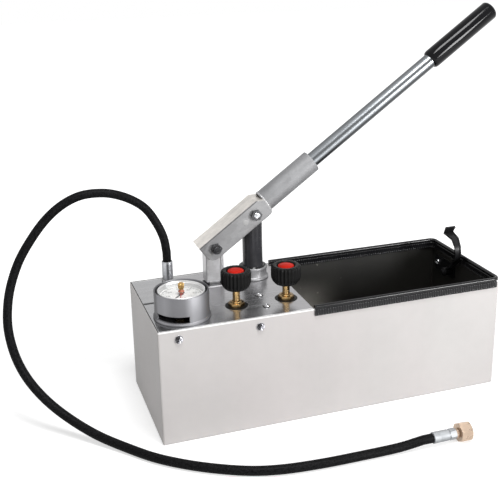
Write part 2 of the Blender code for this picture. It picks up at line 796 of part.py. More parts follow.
def make_pump_body():
    """The casting with the cylinder bore, valve bores, post pocket and outlet."""
    front_y = VALVE_Y - FRONT_BAR_HALF
    front_inner_y = VALVE_Y + FRONT_BAR_HALF
    rear_y = LEVER_PLANE_Y + REAR_BAR_HALF
    rear_inner_y = LEVER_PLANE_Y - REAR_BAR_HALF
    right_x = PISTON_X + BODY_END_WALL
    corner = BODY_CORNER_RADIUS
    outline = rounded((
        (FRONT_BAR_LEFT_X, front_y, corner),
        (FRONT_BAR_RIGHT_X, front_y, corner),
        (FRONT_BAR_RIGHT_X, front_inner_y, corner),
        (BODY_WAIST_X, front_inner_y, corner),
        (BODY_WAIST_X, rear_inner_y, 0),
        (right_x, rear_inner_y, 2 * corner),
        (right_x, rear_y, 2 * corner),
        (REAR_BAR_LEFT_X, rear_y, corner),
        (REAR_BAR_LEFT_X, front_inner_y, 0),
        (FRONT_BAR_LEFT_X, front_inner_y, corner / 2),
    ))
    window_corner = min(corner, (rear_inner_y - front_inner_y) / 2 - FIT)
    window = rounded((
        (BODY_WEB_LEFT_X, front_inner_y, window_corner),
        (BODY_WEB_RIGHT_X, front_inner_y, window_corner),
        (BODY_WEB_RIGHT_X, rear_inner_y, window_corner),
        (BODY_WEB_LEFT_X, rear_inner_y, window_corner),
    ))
    height = BODY_TOP_Z - BODY_BOTTOM_Z
    body = plate(
        "pump_body", outline, height, (0, 0, BODY_BOTTOM_Z + height / 2), holes=(window,)
    )
    over = 2 * FIT
    seal_bottom_z = GLAND_BOTTOM_Z - FIT - LIP_SEAL_HEIGHT - FIT
    spigot_top_z = BODY_BOTTOM_Z + CYLINDER_SPIGOT_HEIGHT
    cylinder_bore = turned(
        "cylinder_bore",
        (
            (0, BODY_TOP_Z + over),
            (GLAND_SPIGOT_RADIUS + FIT, BODY_TOP_Z + over),
            (GLAND_SPIGOT_RADIUS + FIT, seal_bottom_z),
            (BORE_RADIUS, seal_bottom_z),
            (BORE_RADIUS, spigot_top_z),
            (CYLINDER_SPIGOT_RADIUS + FIT, spigot_top_z),
            (CYLINDER_SPIGOT_RADIUS + FIT, BODY_BOTTOM_Z - over),
            (0, BODY_BOTTOM_Z - over),
        ),
        (PISTON_X, LEVER_PLANE_Y, 0),
    )
    boolean(body, cylinder_bore)
    for name, x in (("release_bore", RELEASE_VALVE_X), ("pressure_bore", PRESSURE_VALVE_X)):
        bore = turned(
            name,
            (
                (0, BODY_TOP_Z + over),
                (BONNET_SPIGOT_RADIUS + FIT, BODY_TOP_Z + over),
                (BONNET_SPIGOT_RADIUS + FIT, BONNET_BORE_BOTTOM_Z),
                (NEEDLE_BORE_RADIUS, BONNET_BORE_BOTTOM_Z),
                (NEEDLE_BORE_RADIUS, NEEDLE_BORE_BOTTOM_Z),
                (0, NEEDLE_BORE_BOTTOM_Z),
            ),
            (x, VALVE_Y, 0), facets=SMALL_FACETS,
        )
        boolean(body, bore)
    ports = (
        ("gauge_port", GAUGE_X, GAUGE_Y, GAUGE_SOCKET_RADIUS + FIT, GAUGE_SOCKET_BOTTOM_Z),
        ("outlet_port", OUTLET_X, OUTLET_Y, OUTLET_STUB_RADIUS + FIT, OUTLET_STUB_BOTTOM_Z),
    )
    for name, x, y, radius, bottom in ports:
        depth = BODY_TOP_Z + over - bottom + over
        port = rod(
            name, radius, depth, (x, y, bottom - over + depth / 2), facets=SMALL_FACETS
        )
        boolean(body, port)
    pocket_height = BODY_TOP_Z + over - POCKET_FLOOR_Z
    pocket = block(
        "post_pocket", (POCKET_WIDTH, POCKET_DEPTH, pocket_height),
        (PIVOT_X, LEVER_PLANE_Y, POCKET_FLOOR_Z + pocket_height / 2),
    )
    boolean(body, pocket)
    pin_bore = rod(
        "post_pin_bore", POST_PIN_RADIUS + FIT, 4 * REAR_BAR_HALF,
        (PIVOT_X, LEVER_PLANE_Y + REAR_BAR_HALF, POST_PIN_Z), FACE_FRONT, SMALL_FACETS,
    )
    boolean(body, pin_bore)
    keep(body, "pump_body", "cast")
    pin_length = 2 * REAR_BAR_HALF - 2 * FIT
    pin = rod(
        "post_pin", POST_PIN_RADIUS, pin_length,
        (PIVOT_X, LEVER_PLANE_Y, POST_PIN_Z), FACE_FRONT, SMALL_FACETS,
    )
    keep(pin, "post_pin", "steel")


def make_cylinder():
    """The cylinder barrel below the body, with the suction valve and its strainer."""
    spigot_top_z = BODY_BOTTOM_Z + CYLINDER_SPIGOT_HEIGHT - FIT
    shoulder_z = BODY_BOTTOM_Z - FIT
    floor_z = CYLINDER_BOTTOM_Z + CYLINDER_FLOOR
    barrel = turned(
        "cylinder_barrel",
        (
            (BORE_RADIUS, spigot_top_z),
            (CYLINDER_SPIGOT_RADIUS, spigot_top_z),
            (CYLINDER_SPIGOT_RADIUS, shoulder_z),
            (CYLINDER_RADIUS, shoulder_z),
            (CYLINDER_RADIUS, CYLINDER_BOTTOM_Z + CYLINDER_EDGE),
            (CYLINDER_RADIUS - CYLINDER_EDGE, CYLINDER_BOTTOM_Z),
            (CYLINDER_PORT_RADIUS, CYLINDER_BOTTOM_Z),
            (CYLINDER_PORT_RADIUS, floor_z),
            (BORE_RADIUS, floor_z),
        ),
        (PISTON_X, LEVER_PLANE_Y, 0),
    )
    keep(barrel, "cylinder_barrel", "steel")
    spigot_z = FOOT_SHOULDER_Z + FOOT_SPIGOT_HEIGHT
    seat_top_z = FOOT_SEAT_Z + FOOT_CHAMBER_RADIUS - FOOT_PORT_RADIUS
    roof_z = FOOT_SHOULDER_Z - FOOT_ROOF
    foot = turned(
        "foot_valve",
        (
            (FOOT_OUTLET_RADIUS, spigot_z),
            (FOOT_SPIGOT_RADIUS, spigot_z),
            (FOOT_SPIGOT_RADIUS, FOOT_SHOULDER_Z),
            (FOOT_RADIUS, FOOT_SHOULDER_Z),
            (FOOT_RADIUS, FOOT_WAIST_Z),
            (FOOT_NOZZLE_RADIUS, FOOT_WAIST_Z),
            (FOOT_NOZZLE_RADIUS, FOOT_NOZZLE_Z),
            (FOOT_PORT_RADIUS, FOOT_NOZZLE_Z),
            (FOOT_PORT_RADIUS, FOOT_SEAT_Z),
            (FOOT_CHAMBER_RADIUS, seat_top_z),
            (FOOT_CHAMBER_RADIUS, roof_z),
            (FOOT_OUTLET_RADIUS, roof_z),
        ),
        (PISTON_X, LEVER_PLANE_Y, 0), facets=SMALL_FACETS,
    )
    keep(foot, "foot_valve", "brass")
    cup_inside = FOOT_RADIUS + FIT
    strainer = turned(
        "strainer",
        (
            (cup_inside, STRAINER_TOP_Z),
            (cup_inside + STRAINER_SHEET, STRAINER_TOP_Z),
            (cup_inside + STRAINER_SHEET, STRAINER_FLOOR_Z),
            (FOOT_PORT_RADIUS, STRAINER_FLOOR_Z),
            (FOOT_PORT_RADIUS, STRAINER_FLOOR_Z + STRAINER_SHEET),
            (cup_inside, STRAINER_FLOOR_Z + STRAINER_SHEET),
        ),
        (PISTON_X, LEVER_PLANE_Y, 0), facets=ROUND_FACETS,
    )
    slot_length = 4 * cup_inside
    slot_z = STRAINER_FLOOR_Z + 2 * STRAINER_SHEET + STRAINER_SLOT_HEIGHT / 2
    for index in range(STRAINER_SLOTS // 2):
        slot = block(
            f"strainer_slot_{index}", (slot_length, STRAINER_SLOT_WIDTH, STRAINER_SLOT_HEIGHT),
            (PISTON_X, LEVER_PLANE_Y, slot_z), (0, 0, math.tau * index / STRAINER_SLOTS),
        )
        boolean(strainer, slot)
    keep(strainer, "strainer", "steel")
    seat_offset = FOOT_SEAT_Z - FOOT_PORT_RADIUS
    ball_z = seat_offset + SUCTION_BALL_RADIUS * math.sqrt(2) + FIT
    bm = bmesh.new()
    bmesh.ops.create_uvsphere(
        bm, u_segments=SMALL_FACETS, v_segments=SMALL_FACETS // 2, radius=SUCTION_BALL_RADIUS
    )
    ball = mesh_object("suction_ball", bm, (PISTON_X, LEVER_PLANE_Y, ball_z))
    keep(ball, "suction_ball", "steel")


def make_gland():
    """The chromed gland, the wiper in its top and the lip seal under it."""
    ring_bottom_z = GLAND_TOP_Z - GLAND_RING_HEIGHT
    flange_top_z = PLATE_SEAT_Z + GLAND_FLANGE_HEIGHT
    seat_z = GLAND_TOP_Z - WIPER_SEAT
    gland = turned(
        "gland_nut",
        (
            (WIPER_RADIUS + FIT, GLAND_TOP_Z),
            (GLAND_RING_RADIUS - TANK_SHEET, GLAND_TOP_Z),
            (GLAND_RING_RADIUS, GLAND_TOP_Z - TANK_SHEET),
            (GLAND_RING_RADIUS, ring_bottom_z),
            (GLAND_NECK_RADIUS, ring_bottom_z),
            (GLAND_NECK_RADIUS, flange_top_z),
            (GLAND_FLANGE_RADIUS, flange_top_z),
            (GLAND_FLANGE_RADIUS, PLATE_SEAT_Z),
            (GLAND_SPIGOT_RADIUS, PLATE_SEAT_Z),
            (GLAND_SPIGOT_RADIUS, GLAND_BOTTOM_Z),
            (BORE_RADIUS, GLAND_BOTTOM_Z),
            (BORE_RADIUS, seat_z),
            (WIPER_RADIUS + FIT, seat_z),
        ),
        (PISTON_X, LEVER_PLANE_Y, 0), facets=FINE_FACETS,
    )
    keep(gland, "gland_nut", "chrome")
    wiper_top_z = GLAND_TOP_Z + WIPER_RISE
    wiper = turned(
        "piston_wiper",
        (
            (BORE_RADIUS, wiper_top_z),
            (WIPER_RADIUS - WIPER_RISE, wiper_top_z),
            (WIPER_RADIUS, GLAND_TOP_Z),
            (WIPER_RADIUS, seat_z + FIT),
            (BORE_RADIUS, seat_z + FIT),
        ),
        (PISTON_X, LEVER_PLANE_Y, 0), facets=FINE_FACETS,
    )
    keep(wiper, "piston_wiper", "rubber")
    seal_top_z = GLAND_BOTTOM_Z - FIT
    seal_bottom_z = seal_top_z - LIP_SEAL_HEIGHT
    seal = turned(
        "piston_lip_seal",
        (
            (BORE_RADIUS, seal_top_z),
            (GLAND_SPIGOT_RADIUS, seal_top_z),
            (GLAND_SPIGOT_RADIUS, seal_bottom_z),
            (BORE_RADIUS, seal_bottom_z),
        ),
        (PISTON_X, LEVER_PLANE_Y, 0),
    )
    keep(seal, "piston_lip_seal", "rubber")


def make_piston():
    """The plunger and the steel eye in its top, which slide up and down together."""
    axis = axis_empty("piston_axis", (PISTON_X, LEVER_PLANE_Y, PISTON_PIN_Z))
    top = PISTON_TOP_Z - PISTON_PIN_Z
    bottom = PISTON_BOTTOM_Z - PISTON_PIN_Z
    socket_z = top - PISTON_SHANK_DEPTH
    piston = turned(
        "piston",
        (
            (PISTON_SHANK_RADIUS + FIT, top),
            (PISTON_RADIUS - PISTON_EDGE, top),
            (PISTON_RADIUS, top - PISTON_EDGE),
            (PISTON_RADIUS, bottom + PISTON_EDGE),
            (PISTON_RADIUS - PISTON_EDGE, bottom),
            (0, bottom),
            (0, socket_z),
            (PISTON_SHANK_RADIUS + FIT, socket_z),
        ),
        facets=FINE_FACETS,
    )
    keep(piston, "piston", "black_steel", axis)
    collar_z = top + FIT
    head = turned(
        "piston_head",
        (
            (0, collar_z + PISTON_COLLAR_HEIGHT),
            (PISTON_COLLAR_RADIUS, collar_z + PISTON_COLLAR_HEIGHT),
            (PISTON_COLLAR_RADIUS, collar_z),
            (PISTON_SHANK_RADIUS, collar_z),
            (PISTON_SHANK_RADIUS, socket_z + FIT),
            (0, socket_z + FIT),
        ),
    )
    neck_bottom = collar_z + PISTON_COLLAR_HEIGHT / 2
    neck = block(
        "eye_neck", (2 * PISTON_SHANK_RADIUS, PISTON_EYE_THICKNESS, -neck_bottom),
        (0, 0, neck_bottom / 2),
    )
    boolean(head, neck, "UNION", axis)
    eye = rod(
        "eye_boss", PISTON_EYE_RADIUS, PISTON_EYE_THICKNESS + 2 * WELD, (0, 0, 0), FACE_FRONT
    )
    boolean(head, eye, "UNION", axis)
    hole = rod(
        "eye_hole", PISTON_EYE_HOLE, 2 * PISTON_EYE_THICKNESS, (0, 0, 0), FACE_FRONT
    )
    boolean(head, hole, "DIFFERENCE", axis)
    keep(head, "piston_head", "steel", axis)


def hex_nut(name, across_flats, height, bore, location, finish, frame, rotation=FACE_FRONT):
    """A chamfered nut along Y."""
    nut = hexagon(name, across_flats, height, location, rotation)
    corner = across_flats / math.sqrt(3)
    chamfer = corner - across_flats / 2
    half = height / 2
    trim = turned(
        f"{name}_chamfer",
        (
            (0, half),
            (across_flats / 2, half),
            (corner + WELD, half - chamfer / 2),
            (corner + WELD, -half),
            (0, -half),
        ),
        location, rotation, facets=ROUND_FACETS,
    )
    boolean(nut, trim, "INTERSECT", frame)
    hole = rod(f"{name}_bore", bore, 2 * height, location, rotation, SMALL_FACETS)
    boolean(nut, hole, "DIFFERENCE", frame)
    return keep(nut, name, finish, frame)


def lever_bolt(name, nut_name, radius, reach, tip_finish, frame):
    """A bolt across the channel, its head behind and its nut in front."""
    face = CHANNEL_HALF + FIT
    tip = face + NUT_HEIGHT + FIT + BOLT_TIP
    head_radius = NUT_ACROSS_FLATS / math.sqrt(3)
    bolt = turned(
        name,
        (
            (0, tip),
            (radius - BOLT_TIP / 2, tip),
            (radius, tip - BOLT_TIP / 2),
            (radius, -face),
            (head_radius, -face),
            (head_radius, BOLT_TIP - face - BOLT_HEAD_HEIGHT),
            (head_radius - BOLT_TIP, -face - BOLT_HEAD_HEIGHT),
            (0, -face - BOLT_HEAD_HEIGHT),
        ),
        (reach, 0, 0), FACE_FRONT, facets=SMALL_FACETS,
    )
    keep(bolt, name, tip_finish, frame)
    hex_nut(
        nut_name, NUT_ACROSS_FLATS, NUT_HEIGHT, radius + FIT,
        (reach, -face - NUT_HEIGHT / 2, 0), "black_steel", frame,
    )


def make_lever():
    """The channel, socket, tube and grip, which swing on the post's head."""
    axis = axis_empty(
        "lever_axis", (PIVOT_X, LEVER_PLANE_Y, PIVOT_Z), (0, -LEVER_RISE, 0)
    )
    ramp_x = CHANNEL_REACH - CHANNEL_RAMP_LENGTH
    side = rounded((
        (-CHANNEL_TAIL, CHANNEL_ABOVE, 0),
        (-CHANNEL_TAIL, -CHANNEL_BELOW, CHANNEL_TAIL_RADIUS),
        (CHANNEL_REACH, -CHANNEL_BELOW, CHANNEL_END_RADIUS),
        (CHANNEL_REACH, CHANNEL_ABOVE - CHANNEL_RAMP_DROP, 0),
        (ramp_x, CHANNEL_ABOVE, 0),
    ))
    channel = plate(
        "lever_channel", side, CHANNEL_WIDTH, (0, 0, 0), FACE_FRONT, edge=CHANNEL_TOP_RADIUS
    )
    inside_top = CHANNEL_ABOVE - CHANNEL_PLATE
    inside = plate(
        "channel_inside",
        (
            (-2 * CHANNEL_TAIL, inside_top),
            (-2 * CHANNEL_TAIL, -2 * CHANNEL_BELOW),
            (CHANNEL_REACH + CHANNEL_RAMP_LENGTH, -2 * CHANNEL_BELOW),
            (CHANNEL_REACH + CHANNEL_RAMP_LENGTH, inside_top - 2 * CHANNEL_RAMP_DROP),
            (ramp_x, inside_top),
        ),
        2 * CHANNEL_INNER_HALF, (0, 0, 0), FACE_FRONT,
    )
    boolean(channel, inside, "DIFFERENCE", axis)
    for name, reach, radius in (
        ("pivot_hole", 0, PIVOT_BOLT_RADIUS),
        ("piston_pin_hole", PIN_DISTANCE, PISTON_BOLT_RADIUS),
    ):
        hole = rod(
            name, radius + FIT, 2 * CHANNEL_WIDTH, (reach, 0, 0), FACE_FRONT, SMALL_FACETS
        )
        boolean(channel, hole, "DIFFERENCE", axis)
    keep(channel, "lever_channel", "galvanised", axis)
    lever_bolt(
        "piston_bolt", "piston_nut", PISTON_BOLT_RADIUS, PIN_DISTANCE, "steel", axis
    )

    socket_start = CHANNEL_REACH + FIT
    tongue_radius = CHANNEL_INNER_HALF - 2 * FIT
    socket_bore = HANDLE_TUBE_RADIUS + FIT
    socket = turned(
        "handle_socket",
        (
            (socket_bore, SOCKET_END),
            (SOCKET_RADIUS - SOCKET_EDGE, SOCKET_END),
            (SOCKET_RADIUS, SOCKET_END - SOCKET_EDGE),
            (SOCKET_RADIUS, socket_start),
            (tongue_radius, socket_start),
            (tongue_radius, socket_start - SOCKET_TONGUE),
            (socket_bore, socket_start - SOCKET_TONGUE),
        ),
        (0, 0, 0), ALONG_X, facets=FINE_FACETS,
    )
    flat_z = inside_top - CHANNEL_RAMP_DROP - FIT
    flat = block(
        "socket_flat", (2 * SOCKET_TONGUE, 2 * CHANNEL_WIDTH, CHANNEL_ABOVE),
        (socket_start - SOCKET_TONGUE - FIT, 0, flat_z + CHANNEL_ABOVE / 2),
    )
    boolean(socket, flat, "DIFFERENCE", axis)
    keep(socket, "handle_socket", "galvanised", axis)

    tube_end = GRIP_END - GRIP_END_WALL - FIT
    tube = turned(
        "handle_tube",
        (
            (HANDLE_TUBE_RADIUS - HANDLE_TUBE_WALL, tube_end),
            (HANDLE_TUBE_RADIUS, tube_end),
            (HANDLE_TUBE_RADIUS, HANDLE_TUBE_START),
            (HANDLE_TUBE_RADIUS - HANDLE_TUBE_WALL, HANDLE_TUBE_START),
        ),
        (0, 0, 0), ALONG_X,
    )
    keep(tube, "handle_tube", "chrome", axis)
    grip_bore = HANDLE_TUBE_RADIUS + FIT
    grip = turned(
        "handle_grip",
        (
            (0, GRIP_END),
            (GRIP_RADIUS - 3 * GRIP_LIP, GRIP_END),
            (GRIP_RADIUS - GRIP_LIP, GRIP_END - GRIP_LIP),
            (GRIP_RADIUS, GRIP_END - 3 * GRIP_LIP),
            (GRIP_RADIUS, GRIP_START + GRIP_LIP),
            (GRIP_RADIUS - GRIP_LIP, GRIP_START),
            (grip_bore, GRIP_START),
            (grip_bore, GRIP_END - GRIP_END_WALL),
            (0, GRIP_END - GRIP_END_WALL),
        ),
        (0, 0, 0), ALONG_X,
    )
    keep(grip, "handle_grip", "rubber", axis)


def make_post():
    """The rocking post between the pin in the body and the lever's pivot."""
    axis = axis_empty("post_axis", (PIVOT_X, LEVER_PLANE_Y, POST_PIN_Z))
    pivot = PIVOT_Z - POST_PIN_Z
    foot = POST_FOOT_Z - POST_PIN_Z
    half = POST_WIDTH / 2
    head = [
        (
            POST_HEAD_RADIUS * math.cos(math.pi * index / SMALL_FACETS),
            pivot + POST_HEAD_RADIUS * math.sin(math.pi * index / SMALL_FACETS),
        )
        for index in range(SMALL_FACETS + 1)
    ]
    outline = head + [(-half, foot), (half, foot)]
    post = plate(
        "lever_post", outline, POST_DEPTH, (0, 0, 0), FACE_FRONT, edge=POST_EDGE
    )
    tongue_half = POST_TONGUE_WIDTH / 2
    tongue_outline = rounded((
        (tongue_half, foot + POST_EDGE, 0),
        (-tongue_half, foot + POST_EDGE, 0),
        (-tongue_half, -POST_EYE_RADIUS, tongue_half - FIT),
        (tongue_half, -POST_EYE_RADIUS, tongue_half - FIT),
    ))
    tongue = plate("post_tongue", tongue_outline, POST_TONGUE_DEPTH, (0, 0, 0), FACE_FRONT)
    boolean(post, tongue, "UNION", axis)
    hub = rod(
        "post_hub", POST_HUB_RADIUS, 2 * (CHANNEL_INNER_HALF - FIT), (0, 0, pivot), FACE_FRONT
    )
    boolean(post, hub, "UNION", axis)
    groove = block(
        "post_groove", (POST_GROOVE_WIDTH, 2 * POST_GROOVE_DEPTH, pivot),
        (half - POST_GROOVE_INSET, -POST_DEPTH / 2, pivot / 2),
    )
    boolean(post, groove, "DIFFERENCE", axis)
    for name, height, radius in (
        ("post_pivot_hole", pivot, PIVOT_BOLT_RADIUS),
        ("post_foot_hole", 0, POST_PIN_RADIUS),
    ):
        hole = rod(
            name, radius + FIT, 2 * CHANNEL_WIDTH, (0, 0, height), FACE_FRONT, SMALL_FACETS
        )
        boolean(post, hole, "DIFFERENCE", axis)
    keep(post, "lever_post", "galvanised", axis)
    head_axis = axis_empty("post_head_axis", (0, 0, pivot), (0, -LEVER_RISE, 0), axis)
    lever_bolt(
        "pivot_bolt", "pivot_nut", PIVOT_BOLT_RADIUS, 0, "black_steel", head_axis
    )


def make_valve(kind, x, lift):
    """One shut-off valve: a fixed bonnet, and a needle, stem, knob and cap that rise as it opens."""
    bonnet_z = BODY_TOP_Z + FIT
    hex_top_z = bonnet_z + BONNET_HEX_HEIGHT
    neck_top_z = hex_top_z + BONNET_NECK_HEIGHT
    bonnet = hexagon(
        f"{kind}_valve_bonnet", BONNET_ACROSS_FLATS, BONNET_HEX_HEIGHT,
        (x, VALVE_Y, bonnet_z + BONNET_HEX_HEIGHT / 2),
    )
    core = turned(
        f"{kind}_bonnet_core",
        (
            (0, neck_top_z),
            (STEM_RADIUS + 4 * FIT, neck_top_z),
            (BONNET_NECK_RADIUS, hex_top_z),
            (BONNET_NECK_RADIUS, bonnet_z + FIT),
            (BONNET_SPIGOT_RADIUS, bonnet_z + FIT),
            (BONNET_SPIGOT_RADIUS, BONNET_BOTTOM_Z),
            (0, BONNET_BOTTOM_Z),
        ),
        (x, VALVE_Y, 0), facets=SMALL_FACETS,
    )
    boolean(bonnet, core, "UNION")
    bore = rod(
        f"{kind}_bonnet_bore", STEM_RADIUS + FIT, TANK_HEIGHT, (x, VALVE_Y, TANK_HEIGHT),
        facets=SMALL_FACETS,
    )
    boolean(bonnet, bore)
    keep(bonnet, f"{kind}_valve_bonnet", "brass")

    slide = axis_empty(f"{kind}_needle_axis", (x, VALVE_Y, lift))
    needle_top_z = STEM_BOTTOM_Z - FIT
    needle = turned(
        f"{kind}_valve_needle",
        (
            (0, needle_top_z),
            (NEEDLE_RADIUS, needle_top_z),
            (NEEDLE_RADIUS, NEEDLE_BOTTOM_Z + NEEDLE_TAPER),
            (NEEDLE_TIP_RADIUS, NEEDLE_BOTTOM_Z),
            (0, NEEDLE_BOTTOM_Z),
        ),
        facets=SMALL_FACETS,
    )
    keep(needle, f"{kind}_valve_needle", "steel", slide)
    turn = axis_empty(f"{kind}_stem_axis", (0, 0, 0), (0, 0, 0), slide)
    bore_top_z = KNOB_TOP_Z - KNOB_BORE_ROOF
    stem_top_z = bore_top_z - FIT
    stem = turned(
        f"{kind}_valve_stem",
        (
            (0, stem_top_z),
            (STEM_RADIUS, stem_top_z),
            (STEM_RADIUS, STEM_BOTTOM_Z),
            (0, STEM_BOTTOM_Z),
        ),
        facets=SMALL_FACETS,
    )
    keep(stem, f"{kind}_valve_stem", "brass", turn)
    seat_z = KNOB_TOP_Z - CAP_SEAT
    knob = turned(
        f"{kind}_valve_knob",
        (
            (CAP_RADIUS + FIT, KNOB_TOP_Z),
            (KNOB_RADIUS - 2 * KNOB_SHOULDER, KNOB_TOP_Z),
            (KNOB_RADIUS - KNOB_SHOULDER / 2, KNOB_TOP_Z - KNOB_SHOULDER / 2),
            (KNOB_RADIUS, KNOB_TOP_Z - KNOB_SHOULDER),
            (KNOB_RADIUS, KNOB_BOTTOM_Z + KNOB_TAPER),
            (KNOB_FOOT_RADIUS, KNOB_BOTTOM_Z),
            (STEM_RADIUS + FIT, KNOB_BOTTOM_Z),
            (STEM_RADIUS + FIT, bore_top_z),
            (0, bore_top_z),
            (0, seat_z),
            (CAP_RADIUS + FIT, seat_z),
        ),
        facets=2 * KNOB_FLUTES,
    )
    flutes = rod_ring(
        f"{kind}_knob_flutes", KNOB_FLUTES, KNOB_RADIUS + KNOB_FLUTE_RADIUS - KNOB_FLUTE_DEPTH,
        KNOB_FLUTE_RADIUS, 2 * KNOB_HEIGHT,
        (0, 0, KNOB_TOP_Z - KNOB_SHOULDER - KNOB_HEIGHT), facets=6,
    )
    boolean(knob, flutes, "DIFFERENCE", turn)
    keep(knob, f"{kind}_valve_knob", "black_plastic", turn)
    cap_top_z = KNOB_TOP_Z + CAP_RISE
    cap = turned(
        f"{kind}_valve_cap",
        (
            (0, cap_top_z),
            (CAP_RADIUS - CAP_EDGE, cap_top_z),
            (CAP_RADIUS, cap_top_z - CAP_EDGE),
            (CAP_RADIUS, seat_z + FIT),
            (0, seat_z + FIT),
        ),
        facets=ROUND_FACETS,
    )
    keep(cap, f"{kind}_valve_cap", "red_plastic", turn)


def pointer_outline(length, tail, half_width, hub_radius):
    """Plan of a gauge pointer along +X, with a hub about the origin."""
    hub = []
    hub_steps = SMALL_FACETS // 2
    lead = math.asin(half_width / hub_radius)
    for index in range(hub_steps + 1):
        angle = lead + (math.pi - 2 * lead) * index / hub_steps
        hub.append((hub_radius * math.cos(angle), hub_radius * math.sin(angle)))
    other = [(x, -y) for x, y in reversed(hub)]
    tip = [(length, -half_width / 3), (length, half_width / 3)]
    back = [(-tail, half_width), (-tail, -half_width)]
    return tip + hub + back + other


